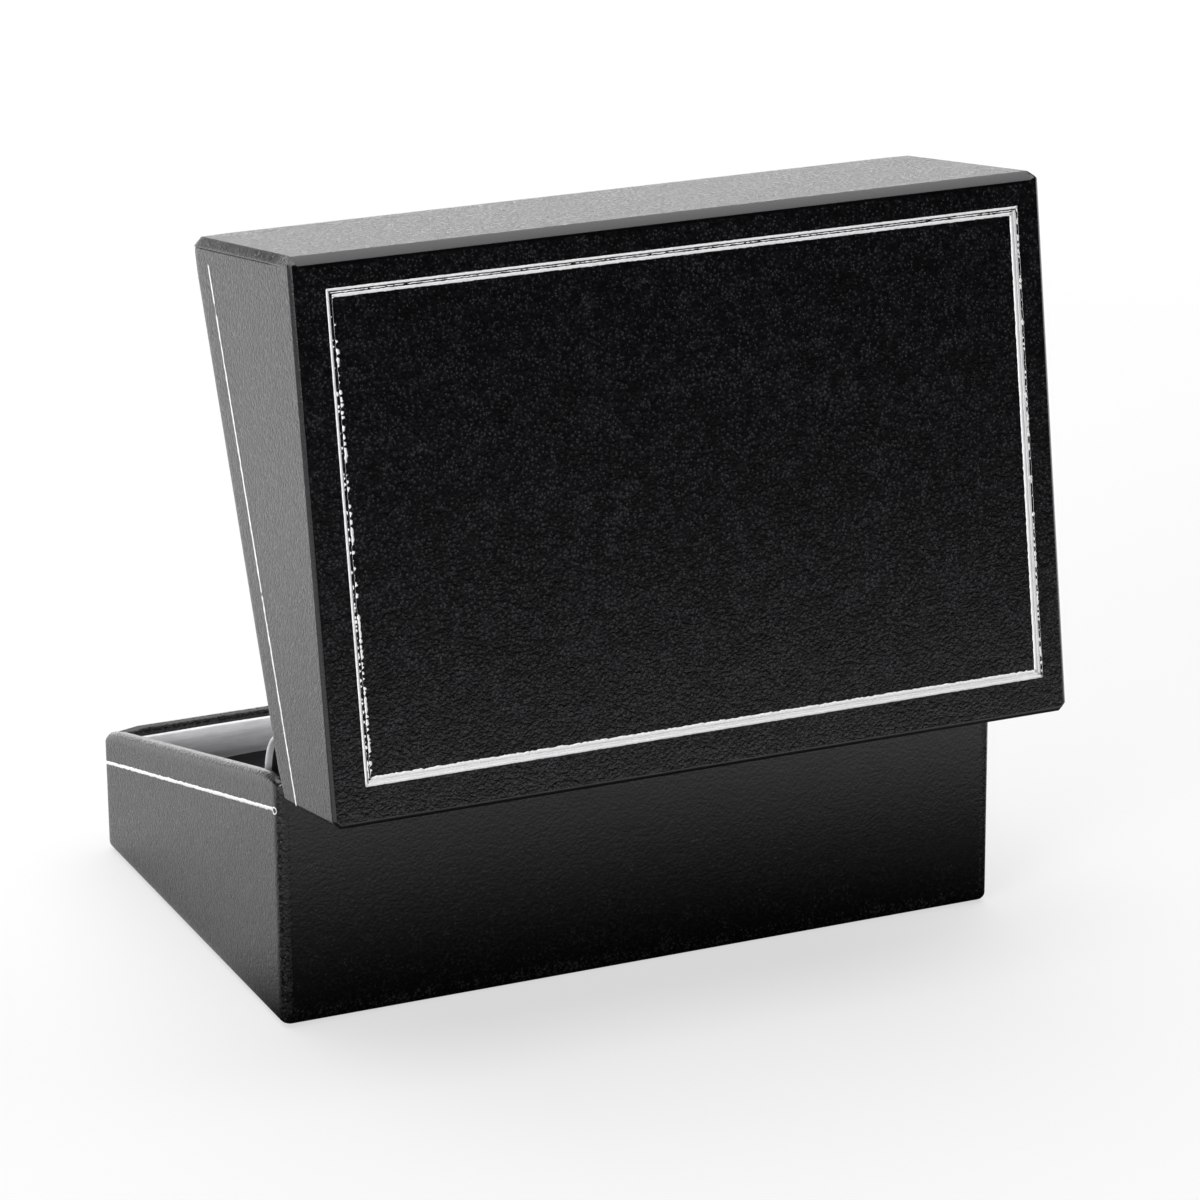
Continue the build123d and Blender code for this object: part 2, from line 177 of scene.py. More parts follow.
def new_material(name):
    """Material with an empty tree, the function that adds to it, and its piece's Object coordinates."""
    made = bpy.data.materials.new(name)
    made.use_nodes = True
    made.node_tree.nodes.clear()
    node = partial(add, made.node_tree)
    return made, node, node("TexCoord").outputs["Object"]


print("mid grey #808080 is", round(linear("#808080")[0], 3), "in linear light")

# %% [markdown]
# ## The studio
# Black leatherette has almost no colour of its own, so its walls are drawn by what they reflect: the side
# walls and the lid's front are seen at a grazing angle and pick up the pale end of the studio, while the
# panel and the rear wall face the dark end, where the camera stands. So the studio is bright overhead and
# behind the box, and dark on the near side. A large dark flag and one big lamp could do the same; a world
# that darkens towards the camera is steadier, and the same for every view.

# %% World
world = bpy.data.worlds.new("studio")
bpy.context.scene.world = world
world.use_nodes = True
world.node_tree.nodes.clear()
node = partial(add, world.node_tree)
along = node("SeparateXYZ", [node("TexCoord").outputs["Generated"]])
near = node("MapRange", {"Value": along.outputs["Y"], "From Min": -0.75, "From Max": 0.55})
walls = node("ValToRGB", [near], [(0.0, "#FFFFFF"), (0.5, "#D8D8D8"), (1.0, "#101010")])
above = node("MapRange", {"Value": along.outputs["Z"], "From Min": 0.05, "From Max": 0.95})
band = node("ValToRGB", [above], [(0.0, "#FFFFFF"), (0.1, "#5A5A5A"), (0.6, "#6E6E6E"), (1.0, "#FFFFFF")])
studio = node("Mix", {0: 1.0, 6: walls, 7: band}, data_type="RGBA", blend_type="MULTIPLY").outputs[2]
print("world:", len(world.node_tree.nodes), "nodes for the studio's walls and ceiling")

# %% [markdown]
# The camera sees plain white instead. So do rays through something clear, and gloss that looks at the low
# band behind the box, where the white sweep stands.

# %% White backdrop
path = node("LightPath").outputs
behind = node("MapRange", {"Value": along.outputs["Y"], "From Min": -0.3, "From Max": -0.75})
low = node("MapRange", {"Value": along.outputs["Z"], "From Min": 0.14, "From Max": 0.05})
backdrop = node("Math", [behind, low], operation="MULTIPLY")
mirrored = node("Math", [path["Is Glossy Ray"], backdrop], operation="MULTIPLY")
clear = node("Math", [path["Is Camera Ray"], path["Is Transmission Ray"]], operation="MAXIMUM")
seen = node("Math", [clear, mirrored], operation="MAXIMUM")
colour = node("Mix", {0: seen, 6: studio, 7: linear("#FFFFFF")}, data_type="RGBA")
node("OutputWorld", [node("Background", {"Color": colour.outputs[2], "Strength": 1.0})])
print("world:", len(world.node_tree.nodes), "nodes with the backdrop")

# %% [markdown]
# ## Lamps
# Three soft boxes. The overhead one lights the lid's front, which faces up. The one behind is a low strip
# that rakes the side walls, so that their grain shows. The key lamp stands by the camera and lifts the panel
# and the rear wall just off black.


# %% Lamps
def softbox(name, place, aim, size, watts):
    """Rectangular area lamp at place, its face turned to aim, its width along the floor."""
    data = bpy.data.lights.new(name, "AREA")
    data.shape, data.size, data.size_y, data.energy = "RECTANGLE", size[0], size[1], watts
    made = bpy.data.objects.new(name, data)
    bpy.context.scene.collection.objects.link(made)
    away = Vector(place) - Vector(aim)
    made.matrix_world = Matrix.Translation(place) @ away.to_track_quat("Z", "Y").to_matrix().to_4x4()
    print(f"{name}: {size[0]} x {size[1]} m, {watts} W, {away.length:.2f} m away")


softbox("overhead", (-0.1, -0.5, 1.2), (-0.1, -0.5, 0.0), (2.0, 2.0), 29.0)
softbox("behind", (-0.6, -1.5, 0.11), (0.0, 0.0, 0.1), (2.0, 0.2), 2.6)
softbox("key", (1.1, 0.75, 0.45), (0.0, 0.0, 0.05), (0.6, 0.6), 13.0)

# %% [markdown]
# ## Floor
# White paper. What the box sees of it and what the camera sees are two things: the walls reflect paper with
# painted shade, dark stripes across the table as flags would cast and a painted shadow close round the box,
# and the camera sees an even pale floor that grows to white with distance and still takes the box's shadow.

# %% Floor
floor_half = 3.0
floor_mesh = bpy.data.meshes.new("floor")
corners = [(-floor_half, -floor_half, 0), (floor_half, -floor_half, 0),
           (floor_half, floor_half, 0), (-floor_half, floor_half, 0)]
floor_mesh.from_pydata(corners, [], [(0, 1, 2, 3)])
floor = bpy.data.objects.new("floor", floor_mesh)
bpy.context.scene.collection.objects.link(floor)
print("floor", 2 * floor_half, "m square")

# %% Floor paper
floor_paper, node, place = new_material("white backdrop paper")
across = node("SeparateXYZ", [place]).outputs["Y"]
near = node("MapRange", {"Value": across, "From Min": -0.4, "From Max": 0.4})
# painted shade: dark stripes across the table in the paper's colour, as flags beside it would cast them
painted_shade_bands = node("ValToRGB", [near], [(0.0, "#FFFFFF"), (0.51, "#FFFFFF"), (0.54, "#0A0A0A"), (0.58, "#7A7A7A"),
                                  (0.63, "#FFFFFF"), (0.75, "#FFFFFF"), (1.0, "#181818")])
distance = node("VectorMath", [place], operation="LENGTH").outputs["Value"]
reach = node("MapRange", {"Value": distance, "From Min": 0.05, "From Max": 0.16})
# painted shadow: the paper is a little darker within about 16 cm of the box's middle
beside = node("ValToRGB", [reach], [(0.0, "#DCDCDC"), (0.4, "#D6D6D6"), (1.0, "#FFFFFF")])
shaded = node("Mix", {0: 1.0, 6: painted_shade_bands, 7: beside}, data_type="RGBA", blend_type="MULTIPLY").outputs[2]
lit = node("BsdfDiffuse", {"Color": shaded})
far = node("MapRange", {"Value": distance, "From Min": 0.3, "From Max": 1.5, "To Min": 0.62, "To Max": 0.98})
glow = node("Emission", {"Color": linear("#FFFFFF"), "Strength": far})
shown = node("AddShader", [glow, node("BsdfDiffuse", {"Color": linear("#8C8C8C")})])
path = node("LightPath").outputs
clear = node("Math", [path["Is Camera Ray"], path["Is Transmission Ray"]], operation="MAXIMUM")
node("OutputMaterial", [node("MixShader", [clear, lit, shown])])
floor_mesh.materials.append(floor_paper)
bpy.context.scene.view_settings.view_transform = "Standard"
print("floor paper:", len(floor_paper.node_tree.nodes), "nodes")

# %% [markdown]
# ## Meshes from arrays
# Most pieces here are a grid of points: rows along a profile or a path, and columns around an outline or a
# section. The same function fills a mesh from such a grid, closes it with a fan of triangles at either end
# where it has one, and turns every face outwards if the signed volume comes out negative.


# %% Faces of a grid
def grid_faces(rows, columns, wrap_rows):
    """Quads between neighbouring rows and columns; columns always wrap round."""
    row = np.arange(rows if wrap_rows else rows - 1)[:, None]
    column = np.arange(columns)[None, :]
    below, beside = (row + 1) % rows, (column + 1) % columns
    corners = [(row, column), (row, beside), (below, beside), (below, column)]
    return np.stack([r * columns + c for r, c in corners], axis=-1).reshape(-1, 4)


def fan_faces(ring, tip):
    """Triangles from each edge of a ring to one point."""
    return np.stack([ring, np.roll(ring, -1), np.full(len(ring), tip)], axis=1)


def volume_of(points, quads, triangles):
    """Signed volume: a sixth of the sum of the triple products of all triangles."""
    all_triangles = np.concatenate([quads[:, [0, 1, 2]], quads[:, [0, 2, 3]], triangles])
    a, b, c = (points[all_triangles[:, i]] for i in range(3))
    return np.einsum("ij,ij->i", a, np.cross(b, c)).sum() / 6


print("a ring of 4 by 6 points has", len(grid_faces(4, 6, True)), "faces")


# %% A piece from points and faces
def make_piece(name, points, quads, triangles, attributes=()):
    """Fills a mesh with points in millimetres, smooth faces that point outwards, and point attributes."""
    centred = points - points.mean(0)
    if volume_of(centred, quads, triangles) < 0:
        quads, triangles = quads[:, ::-1], triangles[:, ::-1]
    mesh = bpy.data.meshes.new(name)
    mesh.from_pydata(points * MM, [], quads.tolist() + triangles.tolist())
    mesh.polygons.foreach_set("use_smooth", np.ones(len(mesh.polygons), bool))
    for key, values in dict(attributes).items():
        layer = mesh.attributes.new(key, "FLOAT", "POINT")
        layer.data.foreach_set("value", np.asarray(values, np.float32))
    mesh.update()
    piece = bpy.data.objects.new(name, mesh)
    bpy.context.scene.collection.objects.link(piece)
    print(f"{name}: {len(points)} points, {len(quads) * 2 + len(triangles)} triangles")
    return piece


def make_surface(name, points, closed_rows=False, attributes=()):
    """A grid of points, rows by columns. Rows either wrap round or end in a fan at their first and last."""
    rows, columns = points.shape[:2]
    flat = points.reshape(-1, 3)
    quads = grid_faces(rows, columns, closed_rows)
    triangles = np.zeros((0, 3), int)
    values = {key: np.broadcast_to(v, (rows, columns)).reshape(-1) for key, v in dict(attributes).items()}
    if not closed_rows:
        first, count = np.arange(columns), rows * columns
        last = first + count - columns
        flat = np.concatenate([flat, [points[0].mean(0)], [points[-1].mean(0)]])
        triangles = np.concatenate([fan_faces(first[::-1], count), fan_faces(last, count + 1)])
        values = {key: np.concatenate([v, [v[0], v[-1]]]) for key, v in values.items()}
    return make_piece(name, flat, quads, triangles, values)


# %% [markdown]
# ## Curves, steps and unevenness
# Nothing made by hand is quite even. Where a line wanders or a foil edge is ragged, the wandering is noise
# from a numbered seed, smoothed over a real length, so that each run gives the same box.


# %% Smooth steps, turns and seeded unevenness
def step(low, high, x):
    """0 below low, 1 above high, and 3t^2 - 2t^3 between."""
    t = np.clip((x - low) / (high - low), 0, 1)
    return t * t * (3 - 2 * t)


def turn(steps=6):
    """Sine and cosine along a quarter turn, both ends included."""
    angle = np.linspace(0, pi / 2, steps)
    return list(zip(np.sin(angle), np.cos(angle)))


def ray(angle):
    """Unit vectors in a plane at these angles from its first axis."""
    return np.column_stack([np.cos(angle), np.sin(angle)])


def unevenness(count, spacing, size, seed):
    """Random values at every sample, smoothed over size millimetres and scaled to about -1 to 1."""
    noise = np.random.default_rng(seed).standard_normal(count)
    reach = max(int(round(size / spacing)), 1)
    window = np.hanning(2 * reach + 3)[1:-1]
    padded = np.concatenate([noise[-len(window):], noise, noise[:len(window)]])
    smooth = np.convolve(padded, window / np.sqrt((window ** 2).sum()), mode="same")
    return smooth[len(window):-len(window)] / 1.5


print("unevenness of a line:", unevenness(5, 0.1, 0.25, 1).round(2))

# %% [markdown]
# ## The wrapped shells
# On the real box one sheet of leatherette is glued round a moulded wedge, turned in over the rim and, on the
# base, turned under the foot. Such a skin is a profile carried round an outline: each row of the grid is the
# box's rounded rectangle, inset by some amount, at a height that follows the sloping rim, the flat panel or
# the table. That keeps the wall's slope, the round edges and the turned-in lip in one closed surface. A block
# with a Bevel and a Solidify modifier would be quicker, but could not follow the slope or turn in.

# %% Outline of the box
SIDES = ("rear", "right", "front", "left")   # right and left as seen from behind, where +X is on the left
CORNERS = np.array([(1.0, 1.0), (-1.0, 1.0), (-1.0, -1.0), (1.0, -1.0)])
low, high = (np.array(corner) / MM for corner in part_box("base_leaf_left"))
hinge_place = (low[0] + high[0]) / 2
hinge_half = (high[0] - low[0]) / 2 + 0.35   # with the clearance at the side of its notch


class Outline:
    """Rounded rectangle seen from above, counterclockwise from the rear left corner. Each corner is a quarter
    turn, drawn towards its chord as far as it is flat, and each side has stations in millimetres along its
    straight part. An inset may differ from column to column, so a groove or a flap is a local inset."""

    def __init__(self, radius, stations, corner_steps=9, half=(half_width, half_depth), centre=(0, 0),
                 flat=0.0):
        self.radius, self.half, self.centre = radius, np.array(half), np.array(centre)
        columns = []
        for k, side in enumerate(SIDES):
            length = 2 * half[k % 2] - 2 * radius
            columns += [("corner", f + k, k, k, 0.0) for f in np.linspace(0, 1, corner_steps)]
            columns += [(side, k + 1.0, k, (k + 1) % 4, station / length) for station in stations[side]]
        names, quarters, starts, ends, shares = map(np.array, zip(*columns))
        self.names, self.along = names, shares[:, None]
        self.starts, self.ends = CORNERS[starts], CORNERS[ends]
        self.normals = ray(quarters * pi / 2)
        corner = np.floor(quarters + 1e-9)
        part = (quarters - corner)[:, None]
        chord = (1 - part) * ray(corner * pi / 2) + part * ray((corner + 1) * pi / 2)
        self.bend = flat * chord + (1 - flat) * self.normals
        self.x, self.y = self.at(0).T
        self.behind_front = self.y + half_depth
        self.from_corner = np.hypot(half_width - np.abs(self.x), half_depth - np.abs(self.y))
        self.at_hinge = (names == "rear") & (np.abs(np.abs(self.x) - hinge_place) < hinge_half)

    def at(self, inset):
        """Straight sides move inwards by the inset. A corner keeps its centre while its radius shrinks,
        down to a fifth of a millimetre."""
        inset = np.broadcast_to(np.asarray(inset, float), self.along.shape[:1])
        r = np.maximum(self.radius - inset, 0.2)
        reach = self.half - inset[:, None] - r[:, None]
        side = self.starts + (self.ends - self.starts) * self.along
        return self.centre + reach * side + self.bend * r[:, None]

    def by_side(self, **values):
        """A value for the columns of each named side, and 1 elsewhere."""
        found = np.ones(len(self.names))
        for name, value in values.items():
            found[self.names == name] = value
        return found

    def dip(self):
        """How far the rim is rounded down in each column: most at the corners."""
        return corner_dip * (1 - step(0.3, 3.0, self.from_corner))


print(f"hinges at {hinge_place:.1f} mm to either side, in notches {2 * hinge_half:.1f} mm wide")

# %% [markdown]
# ### Columns
# The front and the panel of the lid are one piece of leatherette, whose flaps are folded round the front
# corners and glued down on the side walls a millimetre behind them. So there is a fine cut line there, with
# the flap standing a little proud. At the rear, the rim of the base is cut away where the hinges sit, and no
# leatherette is turned in under their leaves. Both skins get extra columns at these places.

# %% Columns of the two skins
base_corner, lid_corner = 1.4, 1.0
seam = 1.1                                # cut line of the flap, behind the front plane
corner_dip = 0.8                          # the rim is rounded down this much at each corner
column_gap, near_edge = 3.5, 0.1          # between columns, and from a corner to the first one


def evenly(length, gap, extra=()):
    """Distances along a side at about this spacing, with extra ones where detail needs them."""
    inner = np.linspace(0, length, int(length / gap) + 2)[1:-1]
    return np.array(sorted([s for s in inner if all(abs(s - e) > gap / 3 for e in extra)] + list(extra)))


def stations(radius, near_front):
    """Stations along the four sides, with close pairs at the ends of the hinges and at the flap."""
    across, deep = width - 2 * radius, depth - 2 * radius
    hinge_ends = [across / 2 + side * (hinge_place + reach + d) for side in (-1, 1)
                  for reach in (-hinge_half, hinge_half) for d in (-0.4, -0.05, 0.05, 0.4)]
    near = [s - radius for s in near_front]
    ends = near_edge, across - near_edge
    return {"rear": evenly(across, column_gap, [*ends, *hinge_ends]),
            "right": evenly(deep, column_gap, [near_edge, *[deep - s for s in near]]),
            "front": evenly(across, column_gap, ends),
            "left": evenly(deep, column_gap, [*near, deep - near_edge])}


base_outline = Outline(base_corner, stations(base_corner, [2.2]))
lid_outline = Outline(lid_corner, stations(lid_corner, [1.05, 1.1, 1.14, 1.19, 1.24, 1.34, 1.8]), flat=0.8)
print(len(base_outline.x), "and", len(lid_outline.x), "columns,", base_outline.at_hinge.sum(), "at hinges")

# %% [markdown]
# ### Rows
# A row is a scale about the middle, an inset, a height and how much of the grain is left on it. Where the
# covering is pulled over an edge its grain is ironed flat, so the grain is a point attribute that the
# material reads.


# %% Skin from rows
def skin(name, outline, rows, height, insets, place=as_it_is, closed_rows=False, grain=1.0):
    """Each row (scale, inset, height, grain) becomes one line round the outline, at the height that the
    function gives. On walls and rims its grain is multiplied by the grain of each column."""
    lines, grains = [], []
    for row in rows:
        xy = outline.centre + (outline.at(insets(row)) - outline.centre) * row[0]
        lines.append(np.column_stack([xy, height(xy[:, 1], row)]))
        on_wall = isinstance(row[2], tuple) and row[2][0] in ("wall", "rim")
        grains.append(np.full(len(xy), row[3]) * (grain if on_wall else 1))
    return make_surface(name, place(np.array(lines)), closed_rows, {"grain": np.array(grains)})


def lip(r=rim_radius):
    """Round rim from the outside of the wall to its inside: a quarter turn, the flat top and a second
    quarter turn. Rows are (inset, distance from the rim's plane, grain left on the surface)."""
    outside = [(r * (1 - c), r * (1 - s), 0.45 + 0.3 * c) for s, c in turn()]
    inside = [(wall - r * (1 - s), r * (1 - c), 0.45 + 0.3 * s) for s, c in turn()]
    return outside + inside


def around_rim(shares):
    """Over the rim, down the turned-in strip, back up the inner face of the former and down its outer one."""
    rows = [(1, inset, ("rim", d), grain) for inset, d, grain in lip()]
    rows += [(1, wall, ("rim", rim_radius + f * (turn_in - rim_radius)), 0.9) for f in (0.25, 0.6, 1)]
    rows += [(1, former_inset, ("rim", turn_in), 0.5), (1, former_inset, ("rim", turn_in / 2), 0.5)]
    rows += [(1, former_inset - 0.02, ("rim", cover), 0.5), (1, cover + 0.02, ("rim", cover), 0.5)]
    return rows + [(1, cover, ("wall", f), 0.5) for f in shares]


print(len(around_rim((0.1, 0.5, 0.9))), "rows round a rim")

# %% [markdown]
# ### The base's leatherette
# From its edge under the foot it runs up the wall, over the rim and down inside.

# %% Skin of the base
notch_height = 30.5      # rim of the base under the hinge barrels


def base_rows():
    """Profile of the skin, closed on itself. Plain heights count from the table."""
    rows = [(1, turn_under, underside, 0.6), (1, 3.0, underside, 0.7)]
    rows += [(1, foot_radius * (1 - s), underside + foot_radius * (1 - c), 0.7) for s, c in turn()]
    rows += [(1, 0, ("wall", f), 1.3) for f in np.linspace(0.04, 0.97, 9)]
    rows += around_rim((0.9, 0.5, 0.1))
    rows += [(1, cover + 0.5 * (1 - s), underside + cover + 0.5 * (1 - c), 0.5) for s, c in turn(4)[::-1]]
    return rows + [(1, 3.0, underside + cover, 0.5), (1, turn_under, underside + cover, 0.5)]


def base_rim(y):
    """Height of the rim in each column: rounded down at the corners and cut away at the hinges."""
    return np.where(base_outline.at_hinge, notch_height, rim(y) - base_outline.dip())


def base_height(y, row):
    """Rim heights hang from the rim, and wall heights share out what is between foot and rim. At the hinges
    the turned-in strip ends just inside the rim."""
    if not isinstance(row[2], tuple):
        return np.full(len(y), row[2])
    kind, value = row[2]
    if kind == "rim":
        return base_rim(y) - np.where(base_outline.at_hinge, min(value, rim_radius + 0.3), value)
    low, high = underside + foot_radius, base_rim(y) - rim_radius
    return low + (high - low) * value


base_leatherette = skin("base_leatherette", base_outline, base_rows(), base_height, lambda row: row[1],
                        closed_rows=True, grain=base_outline.by_side(corner=0.7, rear=0.25))
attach(base_leatherette, "base")
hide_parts("base_covering")

# %% [markdown]
# ### The lid's leatherette
# The lid's skin starts in the middle of the panel and ends under it, so its two ends are closed by fans. Its
# panel edge is pressed nearly flat in the making, like a narrow chamfer, and is tighter along the sides and
# the rear than along the front, where the sheet is thickest.

# %% Rows and heights of the lid's skin
ironed = 1.8             # power of the turn at the panel's edge: 1 is round, and 2 is flat
edge_share = 0.4 + 0.6 * np.clip(-lid_outline.normals[:, 1], 0, 1) ** 2
panel_edge = [(panel_radius * (1 - s ** ironed), panel_radius * (1 - c ** ironed)) for s, c in turn(13)]


def lid_rows():
    """Profile of the skin with the lid shut: panel, round edge, wall, rim, and back to under the panel."""
    rows = [(f, panel_radius, ("panel", 0), 0.45) for f in (0.15, 0.5, 0.85, 0.96)]
    rows += [(1, panel_radius + 0.5, ("panel", 0), 0.45)]
    rows += [(1, inset, ("panel", drop), 0.15) for inset, drop in panel_edge]
    rows += [(1, 0, ("panel", panel_radius + d), 0.9 + d * 0.3) for d in (0.2, 1.0)]
    rows += [(1, 0, ("wall", f), 1.3) for f in np.linspace(0.92, 0.03, 9)]
    rows += around_rim((0.1, 0.5, 0.9))
    rows += [(1, cover + 0.7 * (1 - c), ("under", cover + 0.7 * (1 - s)), 0.5) for s, c in turn(4)]
    return rows + [(f, cover + 0.7, ("under", cover), 0.5) for f in (0.9, 0.5, 0.15)]


def lid_rim(y):
    """Height of the shut lid's rim in each column: rounded up at the corners."""
    return rim(y) + rim_gap + lid_outline.dip()


def lid_height(y, row):
    """Panel heights hang from the panel, rim heights stand on the sloping rim, and wall heights share out
    what is between them. No strip is turned in at the hinges."""
    kind, value = row[2]
    if kind in ("panel", "under"):
        return closed_height - value * (edge_share if kind == "panel" else np.ones(len(y)))
    if kind == "rim":
        return lid_rim(y) + np.where(lid_outline.at_hinge & (value > 1), rim_radius + 0.3, value)
    low, high = lid_rim(y) + rim_radius, closed_height - panel_radius - 1.0
    return low + (high - low) * value


print(len(lid_rows()), "rows, their panel edge", edge_share.min(), "to", edge_share.max(), "of its radius")


# %% Skin of the lid
def lid_insets(row):
    """On the side walls the front flap stands 0.07 mm proud, and its cut edge is a groove 0.22 mm deep. Both
    fade out just before the panel."""
    kind, value = row[2]
    if kind == "panel":
        return row[1] * edge_share
    if row[1] >= cover:
        return row[1]
    s = lid_outline.behind_front
    flap = 0.07 * (1 - step(seam, seam + 0.02, s)) * step(0.3, 0.9, s)
    groove = 0.22 * step(seam, seam + 0.03, s) * (1 - step(seam + 0.06, seam + 0.13, s))
    fade = 1 - step(0.86, 0.92, value) if kind == "wall" else 1
    return row[1] + (groove - flap) * fade * (lid_outline.names != "front")


on_flap = (lid_outline.behind_front < seam + 0.1) & (lid_outline.names != "front")
lid_grain = np.minimum(lid_outline.by_side(corner=0.3), np.where(on_flap, 0.3, 1.0))
lid_leatherette = skin("lid_leatherette", lid_outline, lid_rows(), lid_height, lid_insets, opened,
                       grain=lid_grain)
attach(lid_leatherette, "lid")
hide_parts("lid_covering")

# %% [markdown]
# ## The formers
# Under each skin is the moulded wedge that it is glued to. It is all but hidden, and only its shape matters:
# the same outline, one thickness of leatherette further in, with its rim rounded down at the corners too.

# %% Moulded formers
glue = 0.05              # between a former's rim and the leatherette over it
base_floor = underside + cover + shell_wall
ceiling = closed_height - cover - shell_wall


def former_rows(outside, inside):
    """From the middle of the closed face, down the outer wall to the rim, and up the inner wall to the middle
    again. The two ends are the heights of the closed face's outside and inside."""
    rows = [(f, cover + 1, ("level", outside), 1) for f in (0.2, 0.97, 1)]
    rows += [(1, cover + 0.01, ("mixed", f), 1) for f in (0.04, 0.5, 1.0)]
    rows += [(1, cover + 0.2, ("rim", 0), 1), (1, former_inset - 0.2, ("rim", 0), 1)]
    rows += [(1, former_inset - 0.01, ("mixed", f), 1) for f in (1.0, 0.5)]
    return rows + [(f, former_inset, ("level", inside), 1) for f in (1, 0.97, 0.2)]


def former(name, outline, body, node, outside, inside, edge, place=as_it_is):
    """Former whose rim has the given height in each column."""
    def height(y, row):
        kind, value = row[2]
        if kind == "level":
            return np.full(len(y), value)
        return edge(y) if kind == "rim" else outside + (edge(y) - outside) * value

    made = skin(name, outline, former_rows(outside, inside), height, lambda row: row[1], place)
    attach(made, body)
    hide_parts(node)
    return made


formers = [former("base_former", base_outline, "base", "base_shell", underside + cover, base_floor,
                  lambda y: base_rim(y) - cover - glue),
           former("lid_former", lid_outline, "lid", "lid_shell", closed_height - cover, ceiling,
                  lambda y: lid_rim(y) + cover + glue, opened)]

# %% [markdown]
# ## Foil lines
# The lines are silver foil, pressed on with a heated die. Foil stamped on a pebbled surface never takes
# evenly: it bridges the valleys or misses them, so its edge is ragged and it breaks here and there. Each line
# is a flat strip carried along a path, whose two edges wander by their own seeded noise, and which is pinched
# to nothing at its breaks. A mask in the leatherette's material could draw it too, but a strip keeps its
# sharp edge at any distance and is a piece of its own, as the solids have it.

# %% Ribbon of foil
foil_gap = 0.1                            # distance between samples along a line
hair = 0.004                              # width that is left of a line where it is pinched to nothing


def ribbon(name, path, across, lift, low, high, place=as_it_is, closed=False, stand=0.035, sink=0.02):
    """Strip with a section of four points: at each point of the path its edges lie to either side, a hair
    above the surface, and the same two points again lie a hair below it."""
    left, right = path + across * low[:, None], path + across * high[:, None]
    section = [left - lift * sink, right - lift * sink, right + lift * stand, left + lift * stand]
    return make_surface(name, place(np.stack(section, axis=1)), closed_rows=closed)


def rounded_loop(low, high, radius):
    """Closed path round a rectangle with rounded corners, counterclockwise, and its outward direction."""
    points, outward = [], []
    (x0, y0), (x1, y1) = low + radius, high - radius
    centres = np.array([(x1, y1), (x0, y1), (x0, y0), (x1, y0)])
    steps = max(int(radius * pi / 2 / foil_gap), 3)
    for k, centre in enumerate(centres):
        rays = ray(np.linspace(0, pi / 2, steps) + k * pi / 2)
        arc = centre + radius * rays
        goal = centres[(k + 1) % 4] + radius * rays[-1]
        t = np.linspace(0, 1, int(np.linalg.norm(goal - arc[-1]) / foil_gap) + 1)[1:-1, None]
        points += [arc, arc[-1] + (goal - arc[-1]) * t]
        outward += [rays, np.repeat(rays[-1:], len(t), axis=0)]
    return np.concatenate(points), np.concatenate(outward)


print("foil lines are sampled every", foil_gap, "mm")

# %% [markdown]
# ### Border of the panel
# Two lines, with a channel between them that the foil has bridged in places. Near the hinge the die pressed
# hardest and the two have run together. The inner line has hardly taken on the left, nor the outer one on the
# right.

# %% Line of the border
margins = np.array([(3.25, 4.1), (4.4, 4.75)])   # right and front, left and hinge: outline to outer line
outer_line, channel, inner_line = 0.34, 0.36, 0.42
box_low, box_high = np.array((-half_width, -half_depth)), np.array((half_width, half_depth))


def border(name, inset, line, radius, coverage, raggedness, seed, shares, stand=0.035, grow=0.0):
    """One line of the border. The coverage is how much of the line's width has taken, side by side: near
    the hinge, right, front and left. Where it falls below the noise the line breaks. The shares narrow the
    line on each side, about its middle, and on the left side the coverage grows towards the hinge."""
    path, outward = rounded_loop(box_low + margins[0] + inset, box_high - margins[1] - inset, radius)
    count, (x, y) = len(path), outward.T
    side = np.argmax(np.stack([y, -x, -y, x]), axis=0)
    taken = np.array(coverage)[side] + grow * (side == 3) * path[:, 1] / half_depth
    rough = np.array(raggedness)[side]
    fine, coarse = unevenness(count, foil_gap, 0.25, seed), unevenness(count, foil_gap, 2.0, seed + 1)
    other = unevenness(count, foil_gap, 0.25, seed + 2)
    shut = step(-0.15, 0.35, taken + rough * (0.9 * fine + 0.6 * coarse))
    narrowed = (1 - np.array(shares)[side]) * line / 2
    outer = (0.02 + rough * 0.09 * fine) * shut - narrowed
    inner = -(line + rough * 0.1 * other) * shut - hair + narrowed * shut
    points = np.column_stack([path, np.full(count, closed_height)])
    across = np.column_stack([outward, np.zeros(count)])
    lift = np.tile((0.0, 0.0, 1.0), (count, 1))
    outer = np.maximum(outer, inner + 1.5 * hair)
    made = ribbon(name, points, across, lift, inner, outer, opened, True, stand)
    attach(made, "lid")
    return made


print("border lines", outer_line, "and", inner_line, "mm wide,", channel, "mm apart")

# %% Border of the panel
outer_foil = border("border_outer_line", 0, outer_line, 0.15, coverage=(1.3, 0.0, 1.2, 1.2),
                    raggedness=(0.2, 0.9, 0.15, 0.06), seed=11, shares=(1.0, 0.55, 0.8, 0.8))
inner_foil = border("border_inner_line", outer_line + channel, inner_line, 0.2,
                    coverage=(1.4, 1.4, 1.3, 0.15), raggedness=(0.5, 0.25, 0.25, 0.7), seed=21,
                    shares=(1.1, 1.15, 0.85, 0.6), grow=0.3)
channel_foil = border("border_channel", outer_line, channel, 0.3, coverage=(1.5, 1.3, 0.6, -0.3),
                      raggedness=(0.1, 0.3, 0.35, 0.7), seed=31, shares=(1.4, 1.4, 0.2, 0.4), stand=0.03,
                      grow=0.4)
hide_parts("panel_foil_outer")
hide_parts("panel_foil_inner")

# %% [markdown]
# ### Lines on the walls
# One line on each side of the lid and one round the base, both parallel to the rims.

# %% Line along a wall
base_line, base_line_drop = 0.45, 4.5
lid_line, lid_line_rise, lid_line_start = 0.36, 5.4, 3.0


def pinch(breaks, distance):
    """0 within a break, given by its place and its width, and 1 away from it, along a line."""
    closeness = np.min([np.abs(distance - place) / size for place, size in breaks], axis=0)
    return step(0.6, 1.2, closeness)


